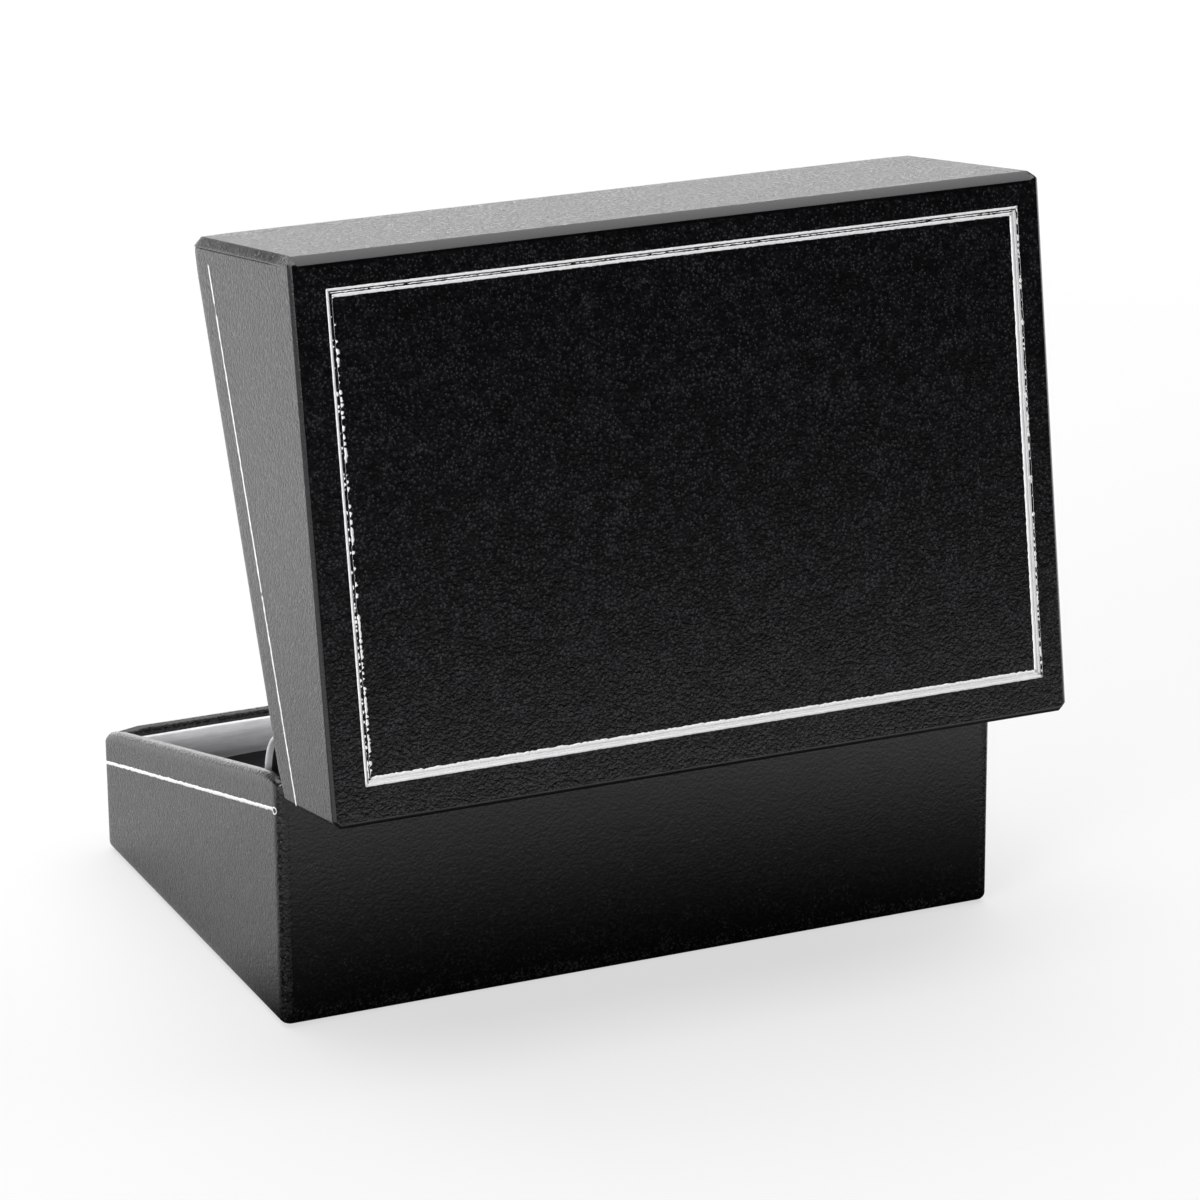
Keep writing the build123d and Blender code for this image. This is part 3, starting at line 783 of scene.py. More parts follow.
def wall_line(name, body, path, outward, line, breaks, seed, place=as_it_is):
    """Runs along the path and stands out by the wall's normal, with its width across both."""
    along = np.gradient(path, axis=0)
    along /= np.linalg.norm(along, axis=1)[:, None]
    distance = np.concatenate([[0], np.cumsum(np.linalg.norm(np.diff(path, axis=0), axis=1))])
    ends = step(0, 0.25, distance) * (1 - step(distance[-1] - 0.25, distance[-1], distance))
    shut, count = pinch(breaks, distance) * ends, len(path)
    low = -(line / 2 + 0.05 * unevenness(count, foil_gap, 0.4, seed)) * shut - hair
    high = (line / 2 + 0.05 * unevenness(count, foil_gap, 0.4, seed + 1)) * shut + hair
    made = ribbon(name, path, np.cross(outward, along), outward, low, high, place)
    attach(made, body)
    return made


def side_line(name, side, breaks):
    """Line on one side wall of the lid, its height following the sloping rim."""
    y = np.arange(lid_line_start - half_depth, half_depth - 0.6, foil_gap)
    path = np.column_stack([np.full(len(y), side * half_width), y, rim(y) + rim_gap + lid_line_rise])
    outward = np.tile((float(side), 0.0, 0.0), (len(y), 1))
    return wall_line(name, "lid", path, outward, lid_line, breaks, 41 + side, opened)


wall_lines = [side_line("lid_line_left", 1, [(5.6, 0.8), (41.0, 0.25)]),
              side_line("lid_line_right", -1, [(17.0, 0.3)])]
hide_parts("lid_side_foil_lines")


# %% Line round the base
def base_line_path():
    """From the rear end of the left wall, round both front corners, to the rear end of the right wall."""
    loop, outward = rounded_loop(box_low, box_high, base_corner)
    on_rear_wall = (np.abs(loop[:, 0]) < half_width - base_corner - 0.01) & (loop[:, 1] > 0)
    order = np.where((loop[:, 1] < half_depth - 1.5) & ~on_rear_wall)[0]
    split = np.where(np.diff(order) > 1)[0]
    order = np.roll(order, -(split[0] + 1)) if len(split) else order
    loop, outward = loop[order], outward[order]
    path = np.column_stack([loop, rim(loop[:, 1]) - base_line_drop])
    return path, np.column_stack([outward, np.zeros(len(loop))])


path, outward = base_line_path()
base_foil = wall_line("base_line", "base", path, outward, base_line, [(23.0, 0.15)], 51)
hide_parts("base_foil_line")
print("base line runs", round(float(np.linalg.norm(np.diff(path, axis=0), axis=1).sum()), 1), "mm")


# %% Where the base's line ends
def on_corner(points, side):
    """Lays points of a side wall, given by y and z, on the wall and round its rear corner."""
    past = np.clip(points[:, 1] - (half_depth - base_corner), 0, base_corner * 0.98)
    points[:, 0] = side * (half_width - base_corner + np.sqrt(base_corner ** 2 - past ** 2))
    points[:, 1] = np.minimum(points[:, 1], half_depth - 0.02)
    return points


ring_place, ring_size, ring_line, ring_count = np.array((0, 0.4, -0.1)), (0, 0.4, 0.42), 0.18, 32


def end_ring(name, end, side):
    """Small ring at an end of the line, where the foil curled round the corner of the die."""
    rays = np.column_stack([np.zeros(ring_count), ray(np.linspace(0, 2 * pi, ring_count + 1)[:-1])])
    ring = on_corner(end + ring_place + rays * ring_size, side)
    lift, half_line = np.tile((float(side), 0.35, 0.0), (ring_count, 1)), np.full(ring_count, ring_line / 2)
    made = ribbon(name, ring, rays, lift, -half_line, half_line, closed=True, stand=0.06)
    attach(made, "base")
    return made


wall_lines += [base_foil, end_ring("base_line_loop_left", path[0], 1),
               end_ring("base_line_loop_right", path[-1], -1)]

# %% [markdown]
# ## Linings
# The walls are lined with strips of card wrapped in satin, pushed in behind the turned-in leatherette. A
# wrapped card has soft edges, is a little fuller in the middle than at its ends and never stands quite
# straight, so each strip is a rounded outline carried from its foot to its top, with a slight swell.


# %% Rows of a card
def card_rows(r, swell):
    """Rounded foot, a face that swells by the sine of the height, and a rounded top. Each row's last value
    is its share of the height."""
    rows = [(0.5, r, ("foot", 0), 0), (1, r, ("foot", 0), 0)]
    rows += [(1, r * (1 - s), ("foot", r * (1 - c)), 0) for s, c in turn(4)[1:]]
    rows += [(1, -swell * sin(pi * f), ("between", f), f) for f in np.linspace(0.04, 0.96, 24)]
    rows += [(1, r * (1 - c), ("head", r * (1 - s)), 1) for s, c in turn(4)]
    return rows + [(0.5, r, ("head", 0), 1)]


print(len(card_rows(0.35, 0.05)), "rows from the foot of a card to its top")


# %% Satin-wrapped card
def wrapped_card(name, body, node, corners, bottom, top, place=as_it_is, seed=0, roll=0.0):
    """Strip between two corners seen from above, carried from the bottom height to the top height, both of
    which may follow the slope. The top wanders by two slow sines. The roll is padding behind the satin along
    the top, 4.5 mm high and widest a third of the way down, which swells only the face that looks into the
    box."""
    low, high = np.sort(np.array(corners, float), axis=0)
    half, centre = (high - low) / 2, (high + low) / 2
    r = min(0.35, half.min() * 0.9)
    lengths = 2 * half - 2 * r
    spots = {side: evenly(length, 2.5) if length > 5 else np.array([length / 2])
             for side, length in zip(SIDES, (*lengths, *lengths))}
    strip = Outline(r, spots, 5, half, centre)
    position = strip.at(0)[:, 0 if lengths[0] > lengths[1] else 1]
    wave = 0.07 * np.sin(position * 0.21 + seed) + 0.05 * np.sin(position * 0.083 + 2 * seed)
    inward = np.clip(strip.normals @ (-centre / np.hypot(*centre)), 0, 1)

    def insets(row):
        down = (1 - row[3]) * (top(centre[1]) - bottom(centre[1]))
        share = (down - 1.4) / (1.7 if down < 1.4 else 3.1)
        return row[1] - roll * inward * np.sqrt(np.clip(1 - share ** 2, 0, 1))

    def height(y, row):
        kind, value = row[2]
        foot, head = bottom(y), top(y) + wave
        middle = foot + r + (head - foot - 2 * r) * value
        return {"foot": foot + value, "head": head - value, "between": middle}[kind]

    made = skin(name, strip, card_rows(r, 0.05), height, insets, place)
    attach(made, body)
    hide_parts(node)
    return made


# %% Linings of the base
lining, lining_drop, roll = 0.8, 1.3, 0.75
inner_x, inner_y = half_width - wall, half_depth - wall


def level(height):
    """A height that is the same all along a strip."""
    return lambda y: 0 * y + height


def beside_wall(side):
    """Corners of the strip along a side wall, behind the one at the front."""
    return (side * inner_x, lining - inner_y), (side * (inner_x - lining), inner_y)


def base_top(y):
    """Height of the top of the base's strips: they stand a little below the rim."""
    return rim(y) - lining_drop


along_front = (-inner_x, -inner_y), (inner_x, lining - inner_y)
cards = [wrapped_card("satin_front_base", "base", "base_lining_front", along_front, level(base_floor),
                      base_top, seed=1, roll=roll),
         wrapped_card("satin_left_base", "base", "base_lining_left", beside_wall(1), level(base_floor),
                      base_top, seed=3),
         wrapped_card("satin_right_base", "base", "base_lining_right", beside_wall(-1), level(base_floor),
                      base_top, seed=1)]

# %% Linings of the lid
rear_face = 30.9         # lining in front of the lid's hinge leaves
spring_clear = 36.2      # its foot, above the springs' tongues when the lid is shut


def lid_foot(y):
    """Height of the lower edge of the lid's strips, with the lid shut."""
    return rim(y) + rim_gap + lining_drop


along_rear = (lining - inner_x, rear_face), (inner_x - lining, rear_face + lining)
strips = {"front": (along_front, lid_foot), "left": (beside_wall(1), lid_foot),
          "right": (beside_wall(-1), lid_foot), "rear": (along_rear, level(spring_clear))}
for name, (corners, foot) in strips.items():
    cards.append(wrapped_card("satin_" + name + "_lid", "lid", "lid_lining_" + name, corners, foot,
                              level(ceiling), opened, seed=7 + len(name)))

# %% [markdown]
# ## Padded pieces
# The cushion and the lid's pad are foam under stretched cloth, glued to a card. Cloth that is pulled over
# foam and held at its edge bulges: flat in the middle, falling away to the edge, and lowest at the corners
# where it is pinned down. A cloth simulation gives that shape: the slab is remeshed to even quads, its
# underside is held, and a little pressure swells it. It runs at ten times the real size, where the solver is
# at ease.

# %% Slab of even quads
SIM_SCALE = 10
to_sim = MM * SIM_SCALE                   # from millimetres to the simulation's metres


def taken_from(piece):
    """Points and mesh of the piece with its modifiers applied, in the simulation's metres."""
    graph = bpy.context.evaluated_depsgraph_get()
    mesh = bpy.data.meshes.new_from_object(piece.evaluated_get(graph))
    points = np.empty(len(mesh.vertices) * 3)
    mesh.vertices.foreach_get("co", points)
    return points.reshape(-1, 3), mesh


def applied(piece):
    """Puts the result of the modifiers in place of the mesh and gives its points."""
    points, mesh = taken_from(piece)
    piece.modifiers.clear()
    piece.data = mesh
    return points


def even_slab(name, half, thickness, corner, edge, voxel):
    """A rounded slab, its middle at the origin and its underside at height 0, remeshed to even quads."""
    spots = {side: evenly(2 * length - 2 * corner, 4) for side, length in zip(SIDES, half * 2)}
    rows = [(f, 0.1, 0.0, 1) for f in (0.3, 0.8, 1)]
    rows += [(1, 0, z, 1) for z in np.linspace(0.3, thickness - edge, 4)]
    rows += [(1, edge * (1 - c), thickness - edge * (1 - s), 1) for s, c in turn(5)[1:]]
    rows += [(f, edge, thickness, 1) for f in (0.8, 0.3)]
    block = Outline(corner, spots, 7, half)
    piece = skin(name, block, rows, lambda y, row: np.full(len(y), row[2]), lambda row: row[1])
    piece.data.transform(Matrix.Scale(SIM_SCALE, 4))
    remesh = piece.modifiers.new("even quads", "REMESH")
    remesh.mode, remesh.voxel_size = "VOXEL", voxel * to_sim
    return piece, applied(piece)


print("the simulation runs at", SIM_SCALE, "times the real size")


# %% Swelling by a cloth simulation
def pushed_out(piece, held, pressure):
    """Runs the cloth for 20 frames and gives the points where it ends. The held points stay."""
    glued = piece.vertex_groups.new(name="glued")
    glued.add(np.where(held)[0].tolist(), 1.0, "REPLACE")
    cloth = piece.modifiers.new("swelling", "CLOTH")
    cloth.settings.quality, cloth.settings.mass = 6, 0.3
    cloth.settings.tension_stiffness, cloth.settings.compression_stiffness = 15, 15
    cloth.settings.use_pressure, cloth.settings.uniform_pressure_force = True, pressure
    cloth.settings.vertex_group_mass = "glued"
    cloth.settings.effector_weights.gravity = 0.0
    cloth.point_cache.frame_start, cloth.point_cache.frame_end = 1, 20
    for frame_number in range(1, 21):
        bpy.context.scene.frame_set(frame_number)
    end, _ = taken_from(piece)
    piece.modifiers.clear()
    bpy.context.scene.frame_set(1)
    return end


def swollen_slab(name, half, thickness, corner, edge, voxel, most, pressure=4.0):
    """A slab that swells by pressure. No point moves further than about the given most: a move d
    becomes most * tanh(d / most)."""
    piece, start = even_slab(name, half, thickness, corner, edge, voxel)
    height, limit = start[:, 2] / (thickness * to_sim), most * to_sim
    moved = pushed_out(piece, height < 0.25, pressure) - start
    size = np.linalg.norm(moved, axis=1)[:, None] + 1e-9
    piece.data.vertices.foreach_set("co", (start + moved * limit * np.tanh(size / limit) / size).ravel())
    piece.data.update()
    smooth = piece.modifiers.new("one subdivision", "SUBSURF")
    smooth.levels = smooth.render_levels = 1
    points = applied(piece)
    print(f"{name}: swells by {np.median(size[height > 0.9]) / to_sim:.2f} mm, {len(points)} points")
    return piece, points / to_sim


def put_back(piece, points):
    """Writes points in millimetres to the piece's mesh, with smooth faces and no groups left."""
    piece.data.vertices.foreach_set("co", (points * MM).ravel())
    piece.data.polygons.foreach_set("use_smooth", np.ones(len(piece.data.polygons), bool))
    piece.vertex_groups.clear()
    piece.data.update()


print("simulation of 20 frames for each pad")

# %% [markdown]
# ### The lid's pad
# Satin over foam, pulled round a card. Its corners are gathered, so short folds run in from each of them.

# %% Satin pad
pad_low, pad_card_face = 45.1, 49.55      # heights with the lid shut: face of the pad, and its card
pad_x, pad_front, pad_rear = 46.6, -31.1, 30.5
slack, glue_line = 0.25, 0.02             # left at the edges for the swelling, and under it for the glue
pad_swell = 1.0                           # how far its middle rises in the simulation


def gathered(points, half, reach, depth):
    """Folds that fan out of the corners: a sine of the direction as seen from the corner, fading with the
    distance from it and towards the glued underside."""
    moved = points.copy()
    corner = np.sign(points[:, :2]) * (np.array(half) - 1.0)
    toward = corner - points[:, :2]
    distance, direction = np.hypot(*toward.T), np.arctan2(np.abs(toward[:, 1]), np.abs(toward[:, 0]))
    fade = np.exp(-distance / reach) * step(0.3, 1.5, distance) * step(0.8, 2.5, points[:, 2])
    moved[:, 2] += depth * fade * np.sin(direction * 17 + distance * 0.25)
    return moved


pad_half = (pad_x - slack, (pad_rear - pad_front) / 2 - slack)
pad_middle = (pad_rear + pad_front) / 2
pad, points = swollen_slab("satin_pad", pad_half, pad_card_face - pad_low - pad_swell, corner=2.0, edge=1.1,
                           voxel=1.3, most=pad_swell)
x, y, z = gathered(points, pad_half, 6.0, 0.28).T
z = z + 0.05 * np.sin(x * 0.31 + 1.3 * np.sin(y * 0.12)) * step(1.5, 3.0, z)
put_back(pad, opened(np.column_stack([x, y + pad_middle, pad_card_face - glue_line - z])))
pad.data.flip_normals()
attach(pad, "lid")
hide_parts("pad_satin", "pad_foam")

# %% [markdown]
# ### The cushion
# Flocked velvet over foam, on a sloping card. Two slits hold the stems of a pair of cufflinks. The velvet is
# tucked down into each slit, so its mouth is soft and slightly raised.

# %% Slits
cushion_x, cushion_front, cushion_rear = 46.6, -31.1, 20.6
cushion_drop, cushion_card_drop = 6.3, 11.3
slit_x, slit_middle, slit_length, slit_width, slit_depth = 18.0, -5.0, 16.0, 2.2, 5.0
drawn = 7.0                               # the mesh is drawn in as far as this from a slit's middle


def drawn_in(distance):
    """Moves points towards the wall of a slit, where the mesh must be fine: the spacing is 1 - 0.65 e^-t^2
    near the wall, and is wider further out to make up for it. The result is that spacing summed up, with
    both ends where they were."""
    along = np.linspace(0, drawn, 701)
    spacing = 1 - 0.65 * np.exp(-((along - slit_width / 2) / 0.6) ** 2) + 0.39 * np.exp(-(along - 4.5) ** 2)
    summed = np.concatenate([[0], np.cumsum(spacing[:-1] + spacing[1:])])
    return np.where(distance < drawn, np.interp(distance, along, summed * drawn / summed[-1]), distance)


def with_slits(points, middle_y, top):
    """Pushes the velvet down in both slits, with a rolled mouth round them."""
    moved = points.copy()
    y = points[:, 1] + middle_y - slit_middle
    near = 1 - step(slit_length / 2 + 1, slit_length / 2 + 4, np.abs(y))
    upper = step(0.5, 0.8, points[:, 2] / top)
    past_end = np.maximum(np.abs(y) - (slit_length / 2 - slit_width / 2), 0)
    for centre in (-slit_x, slit_x):
        d = points[:, 0] - centre
        wide = np.sign(d) * (np.abs(d) + (drawn_in(np.abs(d)) - np.abs(d)) * near)
        moved[:, 0] = np.where(np.abs(d) < drawn, centre + wide, moved[:, 0])
        out = np.hypot(np.abs(moved[:, 0] - centre), past_end) - slit_width / 2
        sunk, raised = 1 - step(-0.35, 0.35, out), np.exp(-((out - 0.9) / 0.8) ** 2)
        moved[:, 2] += upper * (-slit_depth * sunk + 0.22 * raised)
    return moved


print("slits", slit_length, "mm long,", 2 * slit_x, "mm apart")

# %% Velvet cushion
crown, cushion_swell = 1.0, 0.9           # rise of the middle above the foam's edge, part of it by swelling
cushion_half = (cushion_x - slack, (cushion_rear - cushion_front) / 2 - slack)
cushion_middle, cushion_thick = (cushion_rear + cushion_front) / 2, cushion_card_drop - cushion_drop
cushion, points = swollen_slab("velvet_cushion", cushion_half, cushion_thick + crown - cushion_swell,
                               corner=2.0, edge=1.2, voxel=1.3, most=cushion_swell)
x, y, z = with_slits(gathered(points, cushion_half, 4.0, 0.2), cushion_middle, cushion_thick).T
y = y + cushion_middle
put_back(cushion, np.column_stack([x, y, rim(y) - cushion_card_drop + glue_line + z]))
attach(cushion, "base")
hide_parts("cushion_velvet", "cushion_foam")

# %% [markdown]
# ### The apron
# A strip of satin, hemmed along both sides, that bridges the gap at the hinges; its back is black, painted
# shade for the shadow on that side. It is glued to the card behind the cushion and to the lining of the lid,
# and folds forwards when the lid shuts. It is a sheet with a face and a back, both worked out from one curve:
# each lies half a thickness to one side.


# %% Sheet with a face and a back
def make_sheet(name, face, back):
    """Two grids of points with the same rows and columns, joined all round their border."""
    rows, columns = face.shape[:2]
    row, column = np.arange(rows - 1)[:, None], np.arange(columns - 1)[None, :]
    corner = row * columns + column
    quads = np.stack([corner, corner + 1, corner + columns + 1, corner + columns], axis=-1).reshape(-1, 4)
    top, right = np.arange(columns), np.arange(1, rows) * columns + columns - 1
    bottom, left = (rows - 1) * columns + top[-2::-1], np.arange(rows - 2, 0, -1) * columns
    border = np.concatenate([top, right, bottom, left])
    after, count = np.roll(border, -1), rows * columns
    sides = np.column_stack([after, border, border + count, after + count])
    points = np.concatenate([face.reshape(-1, 3), back.reshape(-1, 3)])
    everything = np.concatenate([quads, quads[:, ::-1] + count, sides])
    return make_piece(name, points, everything, np.zeros((0, 3), int))


def rounded_route(corners, passes=4):
    """Chaikin's corner cutting: each corner is replaced by points a quarter in from both its sides."""
    route = np.array(corners, float)
    for _ in range(passes):
        inner = np.stack([0.75 * route[:-1] + 0.25 * route[1:], 0.25 * route[:-1] + 0.75 * route[1:]], axis=1)
        route = np.concatenate([route[:1], inner.reshape(-1, 2), route[-1:]])
    return route


print("four passes turn 6 corners into", len(rounded_route(np.zeros((6, 2)))), "points")

# %% Route of the apron
apron_x, apron_y, apron_half = 46.8, 21.35, 0.15   # half width, its card's rear face, half thickness
lid_ends = opened(np.array([(0, rear_face - 0.45, z) for z in (39.8, 43.8)]))[:, 1:]
apron_route = rounded_route([(apron_y, rim(apron_y) - 9.5), (apron_y, rim(apron_y) + 1.2), (26.4, 36.6),
                             (33.9, 38.2), *lid_ends])
lengths = np.concatenate([[0], np.cumsum(np.hypot(*np.diff(apron_route, axis=0).T))])
t = np.linspace(0, lengths[-1], 72)
line = np.column_stack([np.interp(t, lengths, axis) for axis in apron_route.T])
heading = np.gradient(line, axis=0)
heading /= np.linalg.norm(heading, axis=1)[:, None]
facing = np.column_stack([-heading[:, 1], heading[:, 0]])
print(f"apron is {2 * apron_x:.1f} x {lengths[-1]:.1f} mm flat")


# %% Hems and ripples
def quarter_round(share):
    """Height of a quarter circle over its own foot: 0 at 0, and 1 from 1 on."""
    return np.sqrt(1 - (1 - np.clip(share, 0, 1)) ** 2)


over_hem = apron_x - np.concatenate([np.linspace(2.8, 0.6, 10), [0.25, 0.06, 0]])
x = np.concatenate([-over_hem[::-1], np.linspace(-1, 1, 110) * (apron_x - 3.4), over_hem])
from_side, from_end = apron_x - np.abs(x), np.minimum(t, lengths[-1] - t)[:, None]
hem = 0.07 * (1 - step(1.9, 2.2, from_side)) - 0.06 * np.exp(-((from_side - 2.25) / 0.18) ** 2)
thick = (apron_half + hem) * quarter_round(from_side / 0.35) + 0.01
thick = thick * (0.08 + 0.92 * quarter_round(from_end / 0.3))
loose = np.sin(pi * t / lengths[-1])[:, None] ** 2      # most in the middle of its length
ripple = (0.16 * np.sin(0.42 * x + 0.8) + 0.1 * np.sin(0.95 * x + 0.16 * t[:, None])) * loose
print(f"apron is {2 * thick.min():.2f} to {2 * thick.max():.2f} mm thick")


# %% Satin apron
def apron_face(side):
    """Points of one face: the curve, moved along its normal by the ripple and half the thickness."""
    away = ripple + side * thick
    y, z = line[:, :1] + facing[:, :1] * away, line[:, 1:] + facing[:, 1:] * away
    return np.stack([np.broadcast_to(x, y.shape), y, z], axis=-1)


apron = make_sheet("satin_apron", apron_face(1), apron_face(-1))
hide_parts("hinge_apron")
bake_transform(apron)

# %% [markdown]
# ## Materials
# Every pattern below is sized in millimetres on the real material and turned into a texture scale by one
# function. Grain, weave and pile are fine relief, so they are bump; folds and seams are in the meshes.


# %% Scale of a pattern
def per_mm(size):
    """Texture scale at which one cell of the pattern is this many millimetres wide."""
    return 1 / (size * MM)


print("a 1 mm pattern has scale", per_mm(1.0))

# %% [markdown]
# ### Leatherette
# Pebbled PVC-coated paper, black. The coating is cast on an engraved roller, so the pebbles are shallow domes
# of uneven size with creases between them. Two layers of cells give the domes, and noise gives their waves
# and pores; the cells are bent a little, so that no edge is straight. Real grain could be a displacement, but
# it is only 0.07 mm deep, so bump shows the same.

# %% Relief of the leatherette
pebble, crease, pore = 0.46, 0.25, 0.14
leatherette, node, place = new_material("pebbled black leatherette")
grain = node("Attribute", attribute_name="grain").outputs["Fac"]
bend = node("TexNoise", {"Vector": place, "Scale": per_mm(1.1), "Detail": 2.0}).outputs["Color"]
shift = node("VectorMath", {0: bend, 3: 0.25 * pebble * MM}, operation="SCALE")
moved = node("VectorMath", [place, shift], operation="ADD")
domes = node("TexVoronoi", {"Vector": moved, "Scale": per_mm(pebble)}, feature="F1")
small = node("TexVoronoi", {"Vector": moved, "Scale": per_mm(crease)}, feature="F1")
pores = node("TexNoise", {"Vector": place, "Scale": per_mm(pore), "Detail": 2.0})
waves = node("TexNoise", {"Vector": place, "Scale": per_mm(0.9), "Detail": 1.0})
top = node("Math", [domes, -0.7, 0.85], operation="MULTIPLY_ADD")
top = node("Math", [small, -0.45, top], operation="MULTIPLY_ADD")
relief = node("Math", [pores, 0.25, top], operation="MULTIPLY_ADD")
relief = node("Math", [waves, 0.5, relief], operation="MULTIPLY_ADD")
relief = node("Math", [relief, grain], operation="MULTIPLY")
bump = node("Bump", {"Height": relief, "Strength": 1.0, "Distance": 0.075 * MM})
print("leatherette: pebbles of", pebble, "mm, creases of", crease, "mm, pores of", pore, "mm")

# %% [markdown]
# It is half matt: each dome catches a small soft glint. The tops are painted a little paler than the creases:
# a painted glint on each dome and painted shade in the creases, over slow patches of tone. Where the covering
# is pulled hard over an edge the grain is ironed nearly flat, which the grain attribute says, and with the
# grain go its painted pale tops.

# %% Leatherette
patches = node("TexNoise", {"Vector": place, "Scale": per_mm(2.2), "Detail": 3.0})
# painted glint and shade: dome tops paler and creases darker, mixed with slow random patches of tone
mottle_with_painted_glints = node("Math", [patches, 0.6, top], operation="MULTIPLY_ADD")
unironed = node("Math", [node("Math", [grain, 2.5], operation="MULTIPLY"), 1.0], operation="MINIMUM")
mottle_with_painted_glints = node("Math", [mottle_with_painted_glints, unironed], operation="MULTIPLY")
tint = node("ValToRGB", [mottle_with_painted_glints], [(0.45, "#060607"), (0.62, "#0E0E10"), (0.95, "#2B2B2E")])
raised = node("Math", [top, grain], operation="MULTIPLY")
gloss = node("MapRange", {"Value": raised, "From Min": 0.0, "From Max": 0.5, "To Min": 0.22, "To Max": 0.34})
coating = node("BsdfPrincipled", {"Base Color": tint, "Normal": bump, "Roughness": gloss, "IOR": 1.5})
node("OutputMaterial", [coating])
print(leatherette.name, len(leatherette.node_tree.nodes), "nodes")

# %% [markdown]
# ### Silver foil
# Hot-stamped aluminium foil: vacuum-deposited metal under a clear lacquer, bright but not a mirror, because
# it takes on the pebbles beneath it. Its facets make it glitter unevenly along the line. A pure metal could
# show nothing but the studio, whose near side is dark, so most of its brightness here is pale and matt.

# %% Silver foil
silver_foil, node, place = new_material("hot-stamped silver foil")
facets = node("TexVoronoi", {"Vector": place, "Scale": per_mm(0.3)}, feature="F1")
grit = node("TexNoise", {"Vector": place, "Scale": per_mm(0.12), "Detail": 2.0})
relief = node("Math", [facets, grit], operation="ADD")
bump = node("Bump", {"Height": relief, "Strength": 0.5, "Distance": 0.05 * MM})
tone = node("ValToRGB", [grit], [(0.35, "#F0F0F1"), (0.65, "#FFFFFF")])
stamped = node("BsdfPrincipled", {"Base Color": tone, "Normal": bump, "Metallic": 0.15, "Roughness": 0.4})
node("OutputMaterial", [stamped])
print(silver_foil.name, len(silver_foil.node_tree.nodes), "nodes")

# %% [markdown]
# ### Satin
# Polyester satin: long floats of filament yarn over a fine weave, so it has a soft sheen along one direction
# and hairline ribs across it. Real ribs are 0.1 mm apart; they are drawn at 0.28 mm so that they show.

# %% Satin
satin, node, place = new_material("silver-grey polyester satin")
stretched = node("Mapping", {"Vector": place, "Scale": (0.12, 1.0, 1.0)})
yarn = node("TexNoise", {"Vector": stretched, "Scale": per_mm(0.28), "Detail": 2.0})
slub = node("TexNoise", {"Vector": place, "Scale": per_mm(4.0), "Detail": 2.0})
bump = node("Bump", {"Height": yarn, "Strength": 0.25, "Distance": 0.06 * MM})
mixed = node("Math", [yarn, 0.6, node("Math", [slub, 0.4], operation="MULTIPLY")], operation="MULTIPLY_ADD")
tone = node("ValToRGB", [mixed], [(0.3, "#CFCFD1"), (0.7, "#EAEAEC")])
woven = node("BsdfPrincipled", {"Base Color": tone, "Normal": bump, "Roughness": 0.42,
                                "Specular IOR Level": 0.6, "Sheen Weight": 0.25, "Sheen Roughness": 0.4})
node("OutputMaterial", [woven])
print(satin.name, len(satin.node_tree.nodes), "nodes")

# %% [markdown]
# ### Velvet
# Flocked velvet: short upright rayon fibres on a cloth backing. Pile is dark seen straight on and lighter at
# a grazing angle, and it leans in patches where fingers have brushed it. Hair would show single fibres, but
# they are a fiftieth of a millimetre thick, so sheen and a fine bump are enough.

# %% Velvet
velvet, node, place = new_material("black flocked velvet")
brushed = node("TexNoise", {"Vector": place, "Scale": per_mm(9.0), "Detail": 3.0})
pile = node("TexNoise", {"Vector": place, "Scale": per_mm(0.25), "Detail": 2.0})
bump = node("Bump", {"Height": pile, "Strength": 0.6, "Distance": 0.15 * MM})
tone = node("ValToRGB", [brushed], [(0.35, "#070708"), (0.65, "#111113")])
flock = node("BsdfPrincipled", {"Base Color": tone, "Normal": bump, "Roughness": 0.95,
                                "Specular IOR Level": 0.03, "Sheen Weight": 0.012, "Sheen Roughness": 0.3})
node("OutputMaterial", [flock])
print(velvet.name, len(velvet.node_tree.nodes), "nodes")

# %% [markdown]
# ### Board, plastic, foam and paper
# Greyboard is pulped waste paper, with visible fibres. The formers are moulded black polystyrene, faintly
# orange-peeled. The foam is open-celled, the underside is covered with black embossed paper, and the back of
# the apron is a black mottle, painted shade for the shadow on that side. All are matt and hidden or nearly
# so, and what the eye gets from each is its mottle and how coarse it is.


# %% Board, plastic, foam and paper
def mottled(name, dark, pale, grain_size, roughness, relief):
    """Matt material that is mottled between two colours, with a relief of the same grain."""
    made, node, place = new_material(name)
    grain = node("TexNoise", {"Vector": place, "Scale": per_mm(grain_size), "Detail": 5.0})
    bump = node("Bump", {"Height": grain, "Strength": 0.4, "Distance": relief * MM})
    tone = node("ValToRGB", [grain], [(0.35, dark), (0.65, pale)])
    matt = node("BsdfPrincipled", {"Base Color": tone, "Normal": bump, "Roughness": roughness})
    node("OutputMaterial", [matt])
    print(f"{name}: grain of {grain_size} mm")
    return made


greyboard = mottled("pulped greyboard", "#77736C", "#96928A", 0.5, 0.9, 0.08)
former_plastic = mottled("moulded black polystyrene", "#161618", "#1E1E20", 1.2, 0.45, 0.03)
foam = mottled("open-celled polyurethane foam", "#2A2A2C", "#48484A", 0.7, 0.95, 0.2)
underside_paper = mottled("black embossed paper", "#131314", "#202022", 0.35, 0.75, 0.08)
# the apron's back: a black matt mottle, painted shade for the shadow on that side
apron_back_shade = mottled("black apron back, painted shade", "#0E0E10", "#1C1C1E", 0.3, 0.85, 0.08)

# %% [markdown]
# ### Metals
# The hinge leaves are pressed from nickel-plated steel, and the springs are hardened strip, a shade bluer.
# Both keep faint lines from the rolling mill, which break up their reflections.


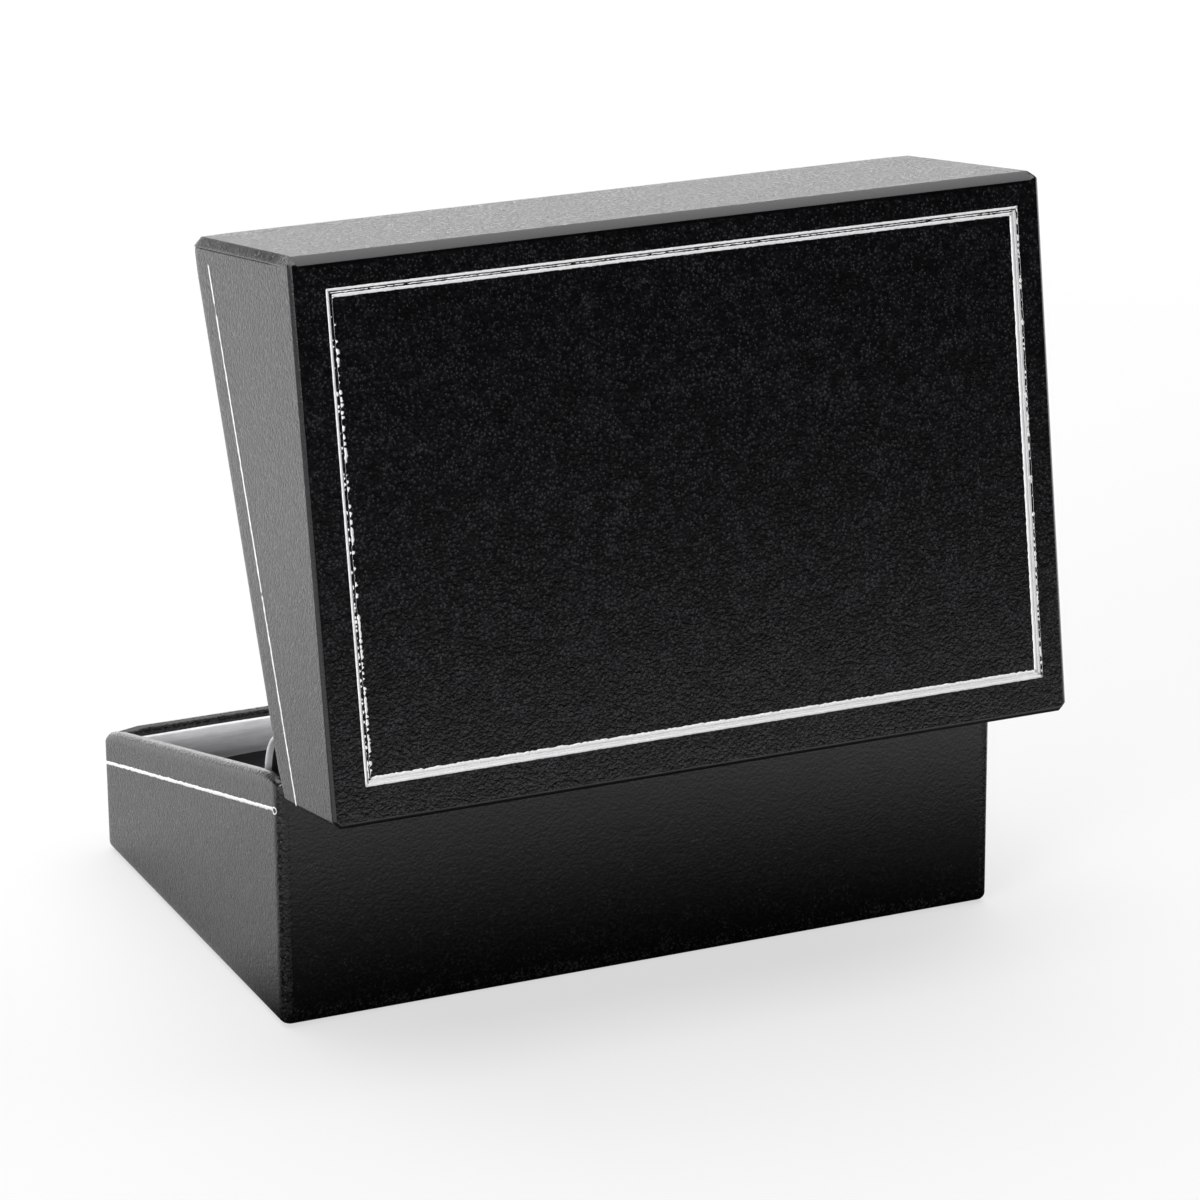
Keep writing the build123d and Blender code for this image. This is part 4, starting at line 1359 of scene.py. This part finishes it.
# %% Metals
def plated(name, colour, dull, bright):
    """Polished sheet metal with faint rolling lines along x, which blur its reflection unevenly."""
    made, node, place = new_material(name)
    drawn_out = node("Mapping", {"Vector": place, "Scale": (0.06, 1.0, 1.0)})
    lines = node("TexNoise", {"Vector": drawn_out, "Scale": per_mm(0.15), "Detail": 3.0})
    blur = node("MapRange", {"Value": lines, "To Min": bright, "To Max": dull})
    bump = node("Bump", {"Height": lines, "Strength": 0.15, "Distance": 0.02 * MM})
    metal = node("BsdfPrincipled", {"Base Color": linear(colour), "Normal": bump, "Metallic": 1.0,
                                    "Roughness": blur})
    node("OutputMaterial", [metal])
    print(f"{name}: roughness {bright} to {dull}")
    return made


hinge_steel = plated("nickel-plated pressed steel", "#B9B5AC", 0.42, 0.22)
spring_steel = plated("hardened spring steel", "#8C9196", 0.5, 0.3)

# %% [markdown]
# ## Finishing
# The solids that show keep their own shape and get these materials by the name of their slot. The new pieces
# get one material each, except the apron, which is satin in front and at its hems, and black behind, painted
# shade.

# %% Finishing solids
by_slot = {"former_plastic": former_plastic, "leatherette": leatherette, "underside_paper": underside_paper,
           "silver_foil": silver_foil, "satin_card": satin, "greyboard": greyboard, "foam": foam,
           "velvet": velvet, "satin": satin, "hinge_steel": hinge_steel, "spring_steel": spring_steel}
solids = {name: bpy.data.objects[name] for name in frame["nodes"] if name in bpy.data.objects}
for solid in solids.values():
    for place_in_slots in solid.material_slots:
        key = place_in_slots.material.name.split(".")[0] if place_in_slots.material else ""
        place_in_slots.material = by_slot.get(key, former_plastic)
on_solids = {slot.material.name for solid in solids.values() for slot in solid.material_slots}
print(len(solids), "solids finished:", sorted(on_solids))

# %% Finishing pieces
foils = [outer_foil, inner_foil, channel_foil, *wall_lines]
finishes = [(leatherette, [base_leatherette, lid_leatherette]), (silver_foil, foils),
            (satin, [*cards, pad, apron]), (former_plastic, formers), (velvet, [cushion])]
for material, pieces in finishes:
    for piece in pieces:
        piece.data.materials.clear()
        piece.data.materials.append(material)
# painted shade: the apron's back faces between the hems get the black material
apron.data.materials.append(apron_back_shade)
between_hems = np.tile(np.abs(x[:-1]) < apron_x - 1.0, len(t) - 1)
painted_shade_faces = np.zeros(len(apron.data.polygons), int)
painted_shade_faces[len(between_hems):2 * len(between_hems)] = between_hems
apron.data.polygons.foreach_set("material_index", painted_shade_faces)
print(sum(len(pieces) for _, pieces in finishes), "new pieces finished")
